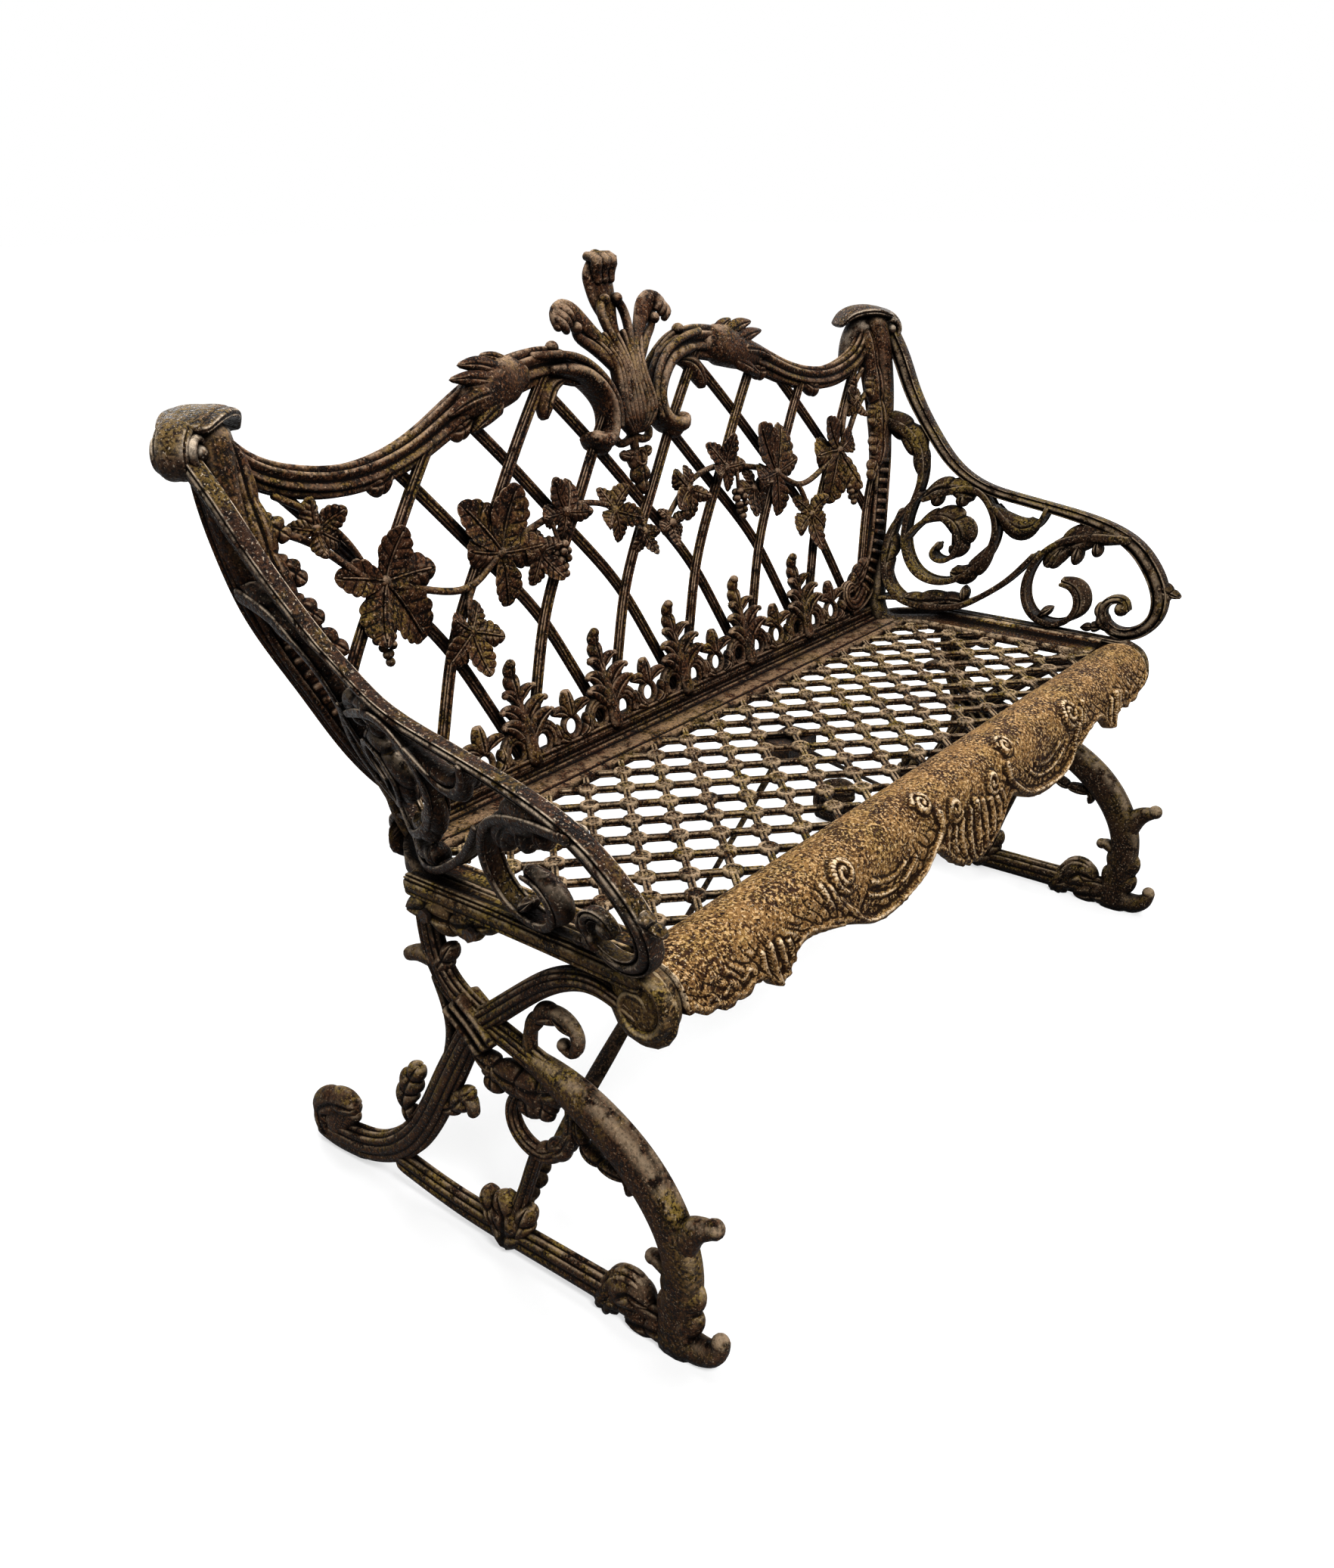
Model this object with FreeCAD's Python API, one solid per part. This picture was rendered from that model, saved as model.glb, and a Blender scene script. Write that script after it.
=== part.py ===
import FreeCAD, Part
import math
import os

V = FreeCAD.Vector

# Overall sizes in millimetres: +X along the bench, front towards -Y, Z up, floor at zero
half_span = 540.0          # middle of the bench to the outer face of an end casting
seat_top = 410.0           # floor to the top of the seat rails
front_reach = 248.0        # origin forward to the front of the seat volutes
back_edge = 150.0          # origin backward to the rear edge of the seat
recline = 12.4             # lean of the back panel, degrees from upright
crest_rise = 540.0         # foot of the back panel to the top of its crest, along the slope

# Thickness of the castings
end_thick = 24.0
arm_thick = 20.0
rail_thick = 22.0
frieze_thick = 18.0
bar_thick = 7.0
leaf_thick = 5.0
plate_thick = 12.0
grille_thick = 8.0
roll_wall = 8.5

# Arms and the corner caps on top of them
arm_foot_in = 19.0         # middle of an arm at seat height inside the outer face of its end casting
arm_flare = 0.27           # outwards for each millimetre up
arm_splay = 0.10           # outwards for each millimetre forward
cap_radius = 48.0
cap_height = 30.0
cap_out = 23.0             # middle of a cap outside the outer face of its end casting

# Seat
rail_height = 24.0
volute_radius = 42.0
rail_tail = 76.0           # seat rail behind the origin
plate_drop = 10.0          # seat surface below the top of the rails
border_side = 41.0
border_back = 46.0
roll_depth = 72.0
grille_pitch = 60.0        # between ring bosses along the bench and across it
grille_bar = 10.0
grille_ring = 11.5
grille_margin = 20.0       # least distance from the last row of holes to the edge of the grille
corner_round = 37.0

# Back panel
bar_width = 13.0
bar_pitch = 140.0
rail_drop = 36.0           # bottom rail below the top of the seat rails
rail_rise = 8.0            # bottom rail above the top of the seat rails
rail_deep = 22.0
rail_inset = 5.0           # ends of the bottom rail inside the edge of the grille
spear_pitch = 139.0
frieze_half = 385.0
frieze_high = 38.0
scroll_hole = 8.0          # radius of the eyes beside each tall leaf of the frieze
scroll_hole_out = 20.0
scroll_hole_up = 22.0
leaf_hole = 7.0            # radius of the eye in each short leaf of the frieze
leaf_hole_up = 26.0

# Stay rods and fasteners
rod_size = 11.0
socket_size = 24.0
socket_long = 20.0
bracket_long = 60.0
bracket_wide = 40.0
bracket_high = 24.0
knot_forward = 30.0        # where a stay rod meets the knot of an end casting
knot_up = 58.0
bolt_size = 8.0
bolt_play = 0.8
thread_play = 0.1
bolt_proud = 2.0           # end of a bolt past its nut
head_flats = 13.0
head_high = 5.5
nut_high = 6.5
boss_radius = 13.0
lug_thick = 8.0
lug_wide = 28.0
lug_drop = 28.0
bolt_drop = 34.0           # seat bolts below the top of the rails
seat_bolt_places = (-48.0, 12.0)
back_bolt_places = (-380.0, -150.0, 150.0, 380.0)
back_bolt_rise = 7.0       # back bolts above the foot of the bottom rail
lap = 2.0                  # how far a boss runs into the rail above it
speck = 30.0               # area of a sliver that is left out

# The outlines below were drawn for these sizes and stretch with the ones above
drawn_span = 540.0
drawn_seat = 410.0
drawn_reach = 248.0
drawn_back = 150.0
drawn_crest = 540.0
drawn_recline = 12.4
drawn_cap_rise = 380.0
drawn_roll = 72.0
along = half_span / drawn_span
leg_up = seat_top / drawn_seat
reach = front_reach / drawn_reach
rear = back_edge / drawn_back
slope_up = crest_rise / drawn_crest
roll_out = roll_depth / drawn_roll

# Places worked out from the sizes
rail_inner = half_span - end_thick
rail_under = seat_top - rail_height
seat_face = seat_top - plate_drop
plate_under = seat_face - plate_thick
grille_front = front_reach - roll_depth
grille_back = border_back - back_edge
grille_half = rail_inner - border_side
rail_half = grille_half - rail_inset
rail_low = seat_top - rail_drop
rail_high = seat_top + rail_rise
lean = math.radians(recline)
drawn_lean = math.radians(drawn_recline)
back_foot = V(0, back_edge + rail_deep / 2, rail_high - rail_thick / 2)
arm_up = slope_up * math.cos(lean) / math.cos(drawn_lean)
cap_rise = drawn_cap_rise * arm_up
cap_base = seat_top + cap_rise
lean_change = math.tan(lean) - math.tan(drawn_lean)
big = 3000.0


# Outlines of the end castings: forward, up, width

front_leg_line = [
    (-60, 388, 30), (-58, 345, 30), (-42, 304, 31), (0, 277, 30), (50, 262, 28), (100, 244, 34),
    (150, 223, 44), (190, 197, 48), (222, 160, 47), (240, 118, 46), (243, 82, 44), (238, 45, 42),
    (236, -6, 44),
]
toe_line = [(238, 14, 26), (264, 9, 26), (284, 22, 18), (291, 42, 9)]
outer_knob_line = [(246, 136, 24), (268, 159, 16), (282, 166, 15)]
ankle_knob_line = [(225, 92, 16), (211, 97, 17)]
post_spur_line = [(-66, 318, 22), (-92, 314, 12)]
ring_scroll_line = [
    (116, 236, 18), (113, 198, 18), (98, 166, 18), (68, 149, 18), (42, 164, 17), (39, 196, 14),
]
leaf_mass_line = [(0, 226, 24), (25, 224, 42), (60, 219, 50), (96, 226, 26)]
inner_leaf_line = [(122, 212, 14), (131, 184, 14), (156, 175, 16), (186, 168, 13), (181, 155, 9)]
under_arch_line = [
    (70, 252, 15), (70, 285, 13), (79, 306, 13), (98, 319, 13), (118, 313, 13), (126, 298, 12),
    (118, 285, 10), (108, 288, 8),
]
arch_line = [
    (196, 360, 20), (160, 371, 21), (125, 364, 22), (95, 349, 23), (62, 323, 24), (32, 297, 25),
    (2, 270, 26),
]
back_leg_line = [
    (4, 276, 26), (-16, 247, 28), (-36, 213, 32), (-57, 175, 34), (-80, 133, 34), (-104, 96, 34),
    (-135, 62, 34), (-175, 36, 36), (-215, 22, 40), (-262, 20, 38),
]
heel_line = [(-278, 18, 34), (-272, 42, 44), (-247, 64, 40), (-226, 77, 22)]
calf_leaf_line = [(-92, 122, 20), (-117, 140, 28), (-104, 166, 20)]
shin_leaf_line = [(-62, 152, 16), (-41, 152, 22), (-25, 166, 17)]
branch_line = [(-58, 288, 10), (-42, 264, 10), (-41, 240, 10), (-50, 208, 10)]
stretcher_line = [(-135, 30, 36), (-60, 22, 34), (40, 21, 36), (140, 22, 38), (232, 22, 42)]
knot_line = [(12, 22, 64), (22, 60, 48), (40, 92, 22), (50, 112, 13)]
hump_line = [(150, 24, 30), (171, 46, 36), (184, 54, 18)]
under_rail_leaf_line = [(-66, 392, 22), (-40, 376, 32), (0, 374, 26), (34, 388, 10)]

arm_rail_line = [
    (-214, 800, 26), (-195, 748, 18), (-176, 712, 16), (-150, 677, 15), (-122, 645, 15), (-95, 619, 15),
    (-65, 599, 15), (-30, 585, 15), (10, 577, 14), (60, 569, 14), (105, 561, 15), (150, 549, 20),
    (190, 529, 28), (219, 500, 28), (235, 470, 26), (235, 441, 24), (219, 421, 20), (195, 414, 16),
    (172, 424, 14),
    (163, 443, 13), (174, 457, 12), (190, 456, 11), (196, 445, 9),
]
spiral_line = [
    (-212, 668, 30), (-165, 655, 30), (-139, 622, 20), (-134, 585, 13), (-144, 540, 13), (-139, 495, 13),
    (-115, 463, 13), (-78, 452, 13), (-43, 464, 14), (-18, 490, 14), (-8, 525, 13), (-20, 560, 13),
    (-48, 583, 15), (-85, 577, 18), (-118, 566, 12),
]
inner_curl_line = [
    (-141, 508, 10), (-126, 528, 11), (-100, 541, 16), (-73, 533, 22), (-60, 508, 17), (-67, 488, 11),
    (-84, 482, 10), (-96, 491, 9), (-90, 502, 8),
]
long_scroll_line = [
    (54, 504, 12), (20, 463, 12), (-10, 439, 13), (-42, 421, 15), (-85, 416, 15), (-130, 424, 13),
    (-157, 447, 13), (-169, 485, 15), (-165, 520, 12), (-147, 550, 11), (-130, 570, 11),
]
front_curl_line = [
    (170, 535, 20), (110, 533, 18), (75, 517, 14), (55, 490, 12), (50, 455, 12), (64, 427, 12),
    (92, 415, 13), (118, 424, 14), (127, 447, 14), (117, 466, 12), (102, 470, 9),
]
crescent_line = [(-16, 562, 12), (5, 545, 14), (28, 534, 14), (48, 542, 11), (58, 566, 10)]

# Outlines of the right half of the back panel: across, up the slope, width

top_rail_line = [
    (562, 402, 30), (530, 372, 32), (485, 352, 33), (435, 345, 33), (385, 350, 33), (335, 363, 34),
    (285, 383, 37), (240, 400, 43), (195, 413, 46), (150, 420, 45), (108, 418, 43),
]
volute_line = [(78, 408, 32), (52, 388, 28), (38, 362, 26), (42, 340, 24), (60, 328, 21), (84, 332, 16)]
fan_line = [(0, 346, 66), (0, 364, 72), (0, 380, 68)]
plume_line = [(0, 392, 34), (0, 432, 32), (-2, 470, 44), (0, 506, 54), (2, 522, 36)]
side_plume_line = [(12, 405, 22), (34, 447, 24), (58, 474, 26), (84, 483, 24), (100, 478, 15)]
pendant_line = [(0, 338, 46), (0, 306, 30), (0, 278, 24), (0, 256, 10)]
stile_line = [
    (568, 420, 44), (566, 366, 52), (563, 300, 50), (557, 255, 44), (544, 212, 38), (526, 170, 36),
    (500, 112, 38), (468, 62, 40), (428, 32, 40), (396, 26, 28),
]
bar_sway = [(10, -66), (50, -50), (95, -30), (155, 0), (245, 70), (330, 141), (420, 224)]
stem_line = [
    (545, 318, 8), (488, 292, 8), (440, 250, 8), (380, 226, 8), (310, 214, 8), (265, 236, 8), (200, 256, 8),
    (140, 266, 8), (90, 260, 7), (40, 234, 7), (14, 214, 6),
]
branch_stem_line = [(310, 214, 7), (322, 190, 7), (318, 165, 6)]
berry_stem_lines = [[(436, 240, 7), (440, 182, 30)], [(200, 250, 7), (172, 208, 30)]]
vine_leaves = [
    (432, 240, 76, 100), (312, 164, 52, 250), (248, 256, 62, 70), (204, 222, 44, 200), (150, 266, 46, 40),
    (66, 250, 42, 330), (26, 212, 30, 250), (486, 322, 38, 200),
]
spear_line = [(0, 22, 54), (0, 55, 50), (0, 85, 34), (0, 112, 18)]
small_spear_line = [(0, 22, 46), (0, 46, 34), (0, 60, 20)]

# Lower edge of the apron from the middle to the right end: across, up
apron_edge = [
    (0, 304), (25, 306), (48, 316), (66, 330), (82, 343), (96, 346), (112, 338), (140, 327), (175, 321),
    (212, 322), (250, 334), (285, 347), (315, 354), (342, 358), (360, 352), (372, 341), (386, 335),
    (398, 339), (408, 350), (440, 351), (475, 355), (520, 372),
]
# Outer face of the front roll: forward from the grille, down from the seat surface
roll_face = [
    (0, 2), (14, -5), (30, -8), (52, -2), (65, 13), (70, 33), (73, 54), (77, 78), (79, 102), (80, 132),
]


def closed_face(edges):
    return Part.Face(Part.Wire(Part.__sortEdges__(edges)))


def flat_face(wire):
    """Face in the drawing plane that always looks up, so that overlapping faces can be joined."""
    return Part.Face(Part.Plane(V(0, 0, 0), V(0, 0, 1)), wire)


def through(points):
    curve = Part.BSplineCurve()
    curve.interpolate([V(x, y, 0) for x, y in points])
    return curve


def band(line):
    """Flat strip of changing width along a smooth centre line, with rounded ends."""
    spots = [V(x, y, 0) for x, y, width in line]
    widths = [width for x, y, width in line]
    centre = Part.BSplineCurve()
    centre.interpolate(spots)
    marks = [centre.parameter(spot) for spot in spots]
    left, right = [], []
    for i in range(len(marks)):
        steps = 2 if i + 1 < len(marks) else 1
        for step in range(steps):
            share = step / 2.0
            after = min(i + 1, len(marks) - 1)
            mark = marks[i] + (marks[after] - marks[i]) * share
            half = (widths[i] + (widths[after] - widths[i]) * share) / 2.0
            spot = centre.value(mark)
            direction = V(*centre.tangent(mark)[0])
            side = V(-direction.y, direction.x, 0) * half
            left.append(spot + side)
            right.append(spot - side)
    sides = []
    for points in (left, right):
        curve = Part.BSplineCurve()
        curve.interpolate(points)
        sides.append(curve.toShape())
    start = V(*centre.tangent(marks[0])[0]) * (-widths[0] * 0.45)
    end = V(*centre.tangent(marks[-1])[0]) * (widths[-1] * 0.45)
    caps = [
        Part.Arc(left[0], spots[0] + start, right[0]).toShape(),
        Part.Arc(left[-1], spots[-1] + end, right[-1]).toShape(),
    ]
    return flat_face(Part.Wire(Part.__sortEdges__(sides + caps)))


def disc(x, y, radius):
    return flat_face(Part.Wire(Part.makeCircle(radius, V(x, y, 0))))


def rectangle(x0, y0, x1, y1):
    corners = [(x0, y0), (x1, y0), (x1, y1), (x0, y1), (x0, y0)]
    return flat_face(Part.makePolygon([V(x, y, 0) for x, y in corners]))


def vine_leaf(x, y, size, turn):
    """Five-lobed leaf around its stalk point, the longest lobe along the turn angle."""
    points = []
    lobes = 5
    count = lobes * 6
    for i in range(count):
        angle = 2 * math.pi * i / count
        lobe = 0.5 + 0.5 * math.cos(lobes * angle)
        radius = size * (0.58 + 0.32 * lobe) * (0.9 + 0.1 * math.cos(angle))
        heading = angle + math.radians(turn)
        across = (x + radius * math.cos(heading)) * along
        points.append(V(across, (y + radius * math.sin(heading)) * slope_up, 0))
    curve = Part.BSplineCurve()
    curve.interpolate(points, PeriodicFlag=True)
    return flat_face(Part.Wire(curve.toShape()))


def joined(faces):
    if len(faces) == 1:
        return faces[0]
    return faces[0].multiFuse(faces[1:]).removeSplitter()


def without(face, others):
    return face.cut(joined(others)) if others else face


def largest(shape):
    return max(shape.Faces, key=lambda face: face.Area)


def raised(shape, low, high):
    """Solid over every face of a flat shape, between two levels of its own normal."""
    solids = []
    for face in shape.Faces:
        if face.Area > speck:
            moved = face.copy()
            moved.translate(V(0, 0, low))
            solids.append(moved.extrude(V(0, 0, high - low)))
    return solids[0] if len(solids) == 1 else Part.makeCompound(solids)


def mirrored(shape):
    return shape.mirror(V(0, 0, 0), V(1, 0, 0))


def below(height):
    return Part.makeBox(2 * big, 2 * big, big, V(-big, -big, height - big))


def above(height):
    return Part.makeBox(2 * big, 2 * big, big, V(-big, -big, height))


os.makedirs("parts", exist_ok=True)


def save(name, shape):
    shape.exportStep("parts/" + name + ".step")


# End castings: flat outlines in forward and up, raised along the bench on the left side

end_frame = FreeCAD.Matrix(0, 0, -1, 0, -1, 0, 0, 0, 0, 1, 0, 0, 0, 0, 0, 1)


def end_solid(face, low=None, high=None):
    low = rail_inner if low is None else low
    high = half_span if high is None else high
    solid = raised(face, low, high)
    return solid.transformed(end_frame)


def fore(forward):
    """Forward places stretch with the front of the seat, backward ones with its rear edge."""
    return forward * (reach if forward > 0 else rear)


def leg(line):
    return band([(fore(forward), up * leg_up, width) for forward, up, width in line])


def arm(line):
    """Arm strip that stands on the seat rail and leans with the back panel."""
    strip = []
    for forward, up, width in line:
        rise = (up - drawn_seat) * arm_up
        strip.append((fore(forward) - lean_change * rise, seat_top + rise, width))
    return band(strip)


def both_ends(name, solid):
    save("left_" + name, solid)
    save("right_" + name, mirrored(solid))


floor_cut = rectangle(-big, -big, big, 0)
bolt_hole = bolt_size + bolt_play
bolt_up = seat_top - bolt_drop
volute_spot = (front_reach - volute_radius, seat_top - volute_radius)
rail_faces = [
    rectangle(fore(-rail_tail), rail_under, volute_spot[0], seat_top),
    disc(volute_spot[0], volute_spot[1], volute_radius),
    leg(under_rail_leaf_line),
]
for place in seat_bolt_places:
    rail_faces.append(disc(place, bolt_up, boss_radius))
    rail_faces.append(rectangle(place - boss_radius, bolt_up, place + boss_radius, rail_under + lap))
rail_holes = [disc(place, bolt_up, bolt_hole / 2) for place in seat_bolt_places]
rail_holes.append(rectangle(-big, seat_top, big, big))
seat_rail_face = without(joined(rail_faces), rail_holes)

front_leg_face = joined([
    leg(line) for line in (
        front_leg_line, toe_line, outer_knob_line, ankle_knob_line, post_spur_line, ring_scroll_line,
        leaf_mass_line, inner_leaf_line, under_arch_line,
    )
])
rail_cut = rectangle(-big, rail_under, big, big)
front_leg_face = largest(without(front_leg_face, [seat_rail_face, floor_cut, rail_cut]))
arch_face = largest(without(leg(arch_line), [seat_rail_face, front_leg_face]))
back_leg_lines = (back_leg_line, heel_line, calf_leaf_line, shin_leaf_line, branch_line)
back_leg_face = joined([leg(line) for line in back_leg_lines])
back_leg_face = largest(without(back_leg_face, [front_leg_face, arch_face, floor_cut]))
stretcher_face = joined([leg(line) for line in (stretcher_line, knot_line, hump_line)])
stretcher_face = largest(without(stretcher_face, [front_leg_face, back_leg_face, floor_cut]))

both_ends("front_leg", end_solid(front_leg_face))
both_ends("leg_arch", end_solid(arch_face))
both_ends("back_leg", end_solid(back_leg_face))
both_ends("bottom_stretcher", end_solid(stretcher_face))
both_ends("seat_rail", end_solid(seat_rail_face))


# Back panel: flat outlines across and up the slope, raised towards the sitter

back_frame = FreeCAD.Matrix(
    1, 0, 0, back_foot.x,
    0, math.sin(lean), -math.cos(lean), back_foot.y,
    0, math.cos(lean), math.sin(lean), back_foot.z,
    0, 0, 0, 1,
)


def back_solid(face, low, high):
    return raised(face, low, high).transformed(back_frame).cut(below(rail_high))


def panel(line):
    return band([(across * along, up * slope_up, width) for across, up, width in line])


def flipped(line):
    return [(-x, y, width) for x, y, width in line]


stile_face = panel(stile_line)
stile_faces = [stile_face, panel(flipped(stile_line))]
half_rail_line = top_rail_line + volute_line
top_rail_face = joined([panel(half_rail_line), panel(flipped(half_rail_line)), panel(fan_line)])
top_rail_face = largest(without(top_rail_face, stile_faces))
crest_faces = [panel(plume_line), panel(side_plume_line), panel(flipped(side_plume_line))]
crest_face = largest(without(joined(crest_faces), [top_rail_face]))
pendant_face = largest(without(panel(pendant_line), [top_rail_face, crest_face]))

frieze_faces = [rectangle(-frieze_half * along, -rail_thick, frieze_half * along, frieze_high * slope_up)]
frieze_holes = []
count = int(frieze_half / spear_pitch)
for i in range(-count, count + 1):
    place = i * spear_pitch
    frieze_faces.append(panel([(x + place, y, width) for x, y, width in spear_line]))
    for side in (-1, 1):
        frieze_holes.append(disc((place + side * scroll_hole_out) * along, scroll_hole_up, scroll_hole))
for i in range(-count, count):
    place = (i + 0.5) * spear_pitch
    frieze_faces.append(panel([(x + place, y, width) for x, y, width in small_spear_line]))
    frieze_holes.append(disc(place * along, leaf_hole_up, leaf_hole))
frieze_face = largest(without(joined(frieze_faces), frieze_holes + stile_faces))

frame_faces = stile_faces + [top_rail_face, crest_face, pendant_face, frieze_face]


def lattice_bars(side):
    """Parallel swaying bars of one family, trimmed by the rails around them."""
    bars = []
    steps = int(drawn_span / bar_pitch) + 1
    for i in range(-steps, steps):
        foot = (i + 0.5) * bar_pitch
        line = [(foot + side * sway, up, bar_width) for up, sway in bar_sway]
        trimmed = without(panel(line), frame_faces)
        inside = [face for face in trimmed.Faces if panel_holds(face)]
        if inside:
            bars.append(max(inside, key=lambda face: face.Area))
    return Part.makeCompound(bars)


def panel_holds(face):
    """True for a piece of bar inside the frame of rails, not one that sticks out past them."""
    middle = face.CenterOfMass
    between_stiles = abs(middle.x) < rail_inner
    between_rails = frieze_high < middle.y / slope_up < top_rail_line[-1][1]
    return between_stiles and between_rails and face.Area > bar_pitch * lap


vine_faces = [panel(line) for line in [stem_line, branch_stem_line] + berry_stem_lines]
vine_faces += [vine_leaf(x, y, size, turn) for x, y, size, turn in vine_leaves]
vine_face = largest(without(joined(vine_faces), [stile_face, top_rail_face, pendant_face]))
right_of_middle = rectangle(1.0, -big, big, big)
vine_face = largest(vine_face.common(right_of_middle))

# Corner caps: domes that sit on the arm rail and the stile
cap_back = back_foot.y + math.tan(lean) * (cap_base - back_foot.z)
ball = (cap_radius ** 2 + cap_height ** 2) / (2 * cap_height)
cap_from = math.degrees(math.asin((ball - cap_height) / ball))
cap = Part.makeSphere(ball, V(0, 0, 0), V(0, 0, 1), cap_from, 90, 360)
cap.translate(V(-half_span - cap_out, cap_back, cap_base + cap_height - ball))
both_ends("corner_cap", cap)

half_rail_thick = rail_thick / 2
half_frieze = frieze_thick / 2
top_rail = back_solid(top_rail_face, -half_rail_thick, half_rail_thick)
save("back_top_rail", top_rail.cut(cap).cut(mirrored(cap)))
save("back_crest", back_solid(crest_face, -half_frieze, half_frieze))
save("back_pendant", back_solid(pendant_face, -half_frieze, half_frieze))
save("back_leaf_frieze", back_solid(frieze_face, -half_frieze, half_frieze))
save("back_lattice_front", back_solid(lattice_bars(1), 0, bar_thick))
save("back_lattice_rear", back_solid(lattice_bars(-1), -bar_thick, 0))
right_vine = back_solid(vine_face, bar_thick, bar_thick + leaf_thick)
save("back_vine_right", right_vine)
save("back_vine_left", mirrored(right_vine))
right_stile = back_solid(stile_face, -half_rail_thick, half_rail_thick).cut(above(cap_base))
save("right_back_stile", right_stile)
save("left_back_stile", mirrored(right_stile))


# Arms: outlines cut from a slab that leans outwards towards its top and its front

slab_corners = []
for forward, up in ((-big, 0.0), (big, 0.0), (big, big), (-big, big)):
    out = half_span - arm_foot_in + arm_splay * forward + arm_flare * (up - seat_top)
    slab_corners.append(V(forward, up, out - arm_thick / 2))
slab = Part.Face(Part.makePolygon(slab_corners + slab_corners[:1])).extrude(V(0, 0, arm_thick))

arm_floor = rectangle(-big, -big, big, seat_top)
arm_roof = rectangle(-big, cap_base, big, big)
arm_rail_face = largest(without(arm(arm_rail_line), [arm_floor, arm_roof]))
scroll_lines = (spiral_line, inner_curl_line, long_scroll_line, front_curl_line, crescent_line)
arm_scroll_face = joined([arm(line) for line in scroll_lines])
arm_scroll_face = largest(without(arm_scroll_face, [arm_floor, arm_rail_face]))
left_stile = mirrored(right_stile)


def arm_solid(face):
    prism = raised(face, 0.0, 2 * half_span)
    leaning = prism.common(slab).transformed(end_frame).cut(left_stile)
    return max(leaning.Solids, key=lambda solid: solid.Volume)


both_ends("arm_rail", arm_solid(arm_rail_face))
both_ends("arm_scrolls", arm_solid(arm_scroll_face))


# Seat: grille, borders with bolt lugs, rolled front with its apron

def octagon(x, y):
    flat = (grille_pitch / math.sqrt(2) - grille_bar) / 2
    tip = grille_pitch / 2 - grille_ring
    half = flat * math.sqrt(2) - tip
    corners = [
        (tip, -half), (tip, half), (half, tip), (-half, tip),
        (-tip, half), (-tip, -half), (-half, -tip), (half, -tip),
    ]
    return Part.makePolygon([V(x + a, y + b, 0) for a, b in corners + corners[:1]])


half_pitch = grille_pitch / 2
deep = grille_front - grille_back
columns = int((grille_half - grille_margin) / half_pitch)
rows = int((deep / 2 - grille_margin) / half_pitch)
grille_middle = -(grille_front + grille_back) / 2
holes = []
for column in range(-columns, columns + 1):
    for row in range(-rows, rows + 1):
        if (column + row) % 2 == 0:
            holes.append(octagon(column * half_pitch, grille_middle + row * half_pitch))
outer = rectangle(-grille_half, -grille_front, grille_half, -grille_back).OuterWire
grille = Part.Face([outer] + holes).extrude(V(0, 0, grille_thick))
grille.translate(V(0, 0, seat_face - grille_thick))
save("seat_grille", grille)

back_border = Part.makeBox(
    2 * grille_half, border_back, plate_thick, V(-grille_half, -grille_back, plate_under)
)
flange = Part.makeBox(
    2 * rail_half, lug_thick, plate_under - rail_low, V(-rail_half, back_edge - lug_thick, rail_low)
)
back_border = back_border.fuse(flange)
bottom_rail = Part.makeBox(
    2 * rail_half, rail_deep, rail_high - rail_low, V(-rail_half, back_edge, rail_low)
)
back_bolt_up = rail_low + back_bolt_rise
for place in back_bolt_places:
    hole = Part.makeCylinder(bolt_hole / 2, big, V(place * along, 0, back_bolt_up), V(0, 1, 0))
    back_border = back_border.cut(hole)
    bottom_rail = bottom_rail.cut(hole)
save("seat_back_border", back_border.removeSplitter())
save("back_bottom_rail", bottom_rail)

side_border = Part.makeBox(
    border_side, grille_front + back_edge, plate_thick, V(-rail_inner, -grille_front, plate_under)
)
corner = []
for edge in side_border.Edges:
    middle = edge.CenterOfMass
    if middle.x < -rail_inner + speck / big and middle.y > back_edge - speck / big:
        corner.append(edge)
side_border = side_border.makeFillet(corner_round, corner)
for place in seat_bolt_places:
    lug_spot = V(-rail_inner, -place - lug_wide / 2, plate_under - lug_drop)
    lug = Part.makeBox(lug_thick, lug_wide, lug_drop, lug_spot)
    side_border = side_border.fuse(lug)
for place in seat_bolt_places:
    side_border = side_border.cut(
        Part.makeCylinder(bolt_hole / 2, big, V(-big, -place, bolt_up), V(1, 0, 0))
    )
save("seat_left_border", side_border.removeSplitter())
save("seat_right_border", mirrored(side_border.removeSplitter()))

roll_spots = [(grille_front + forward * roll_out, seat_face - drop) for forward, drop in roll_face]
outside_curve = through(roll_spots)
inside_points = []
for spot in roll_spots:
    mark = outside_curve.parameter(V(spot[0], spot[1], 0))
    direction = V(*outside_curve.tangent(mark)[0])
    inner_x = max(spot[0] + direction.y * roll_wall, grille_front)
    inside_points.append((inner_x, spot[1] - direction.x * roll_wall))
inside_curve = through(inside_points)
roll_ends = []
for end in (0, -1):
    roll_ends.append(Part.makeLine(V(*roll_spots[end], 0), V(*inside_points[end], 0)))
roll_section = closed_face([outside_curve.toShape(), inside_curve.toShape()] + roll_ends)
roll = raised(roll_section, -rail_inner, rail_inner).transformed(end_frame)
edge_right = [V(x * along, 0, seat_top - drawn_seat + z) for x, z in apron_edge]
edge_left = [V(-spot.x, 0, spot.z) for spot in reversed(edge_right[1:])]
edge_curve = Part.BSplineCurve()
edge_curve.interpolate(edge_left + edge_right)
ends = [edge_left[0], edge_right[-1]]
deep_down = [V(ends[0].x, 0, -big), V(ends[1].x, 0, -big)]
under_apron = closed_face([
    edge_curve.toShape(),
    Part.makeLine(ends[0], deep_down[0]),
    Part.makeLine(deep_down[0], deep_down[1]),
    Part.makeLine(deep_down[1], ends[1]),
])
under_apron.translate(V(0, -big, 0))
roll = roll.cut(under_apron.extrude(V(0, 2 * big, 0)))
save("seat_front_roll", max(roll.Solids, key=lambda solid: solid.Volume))


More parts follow.
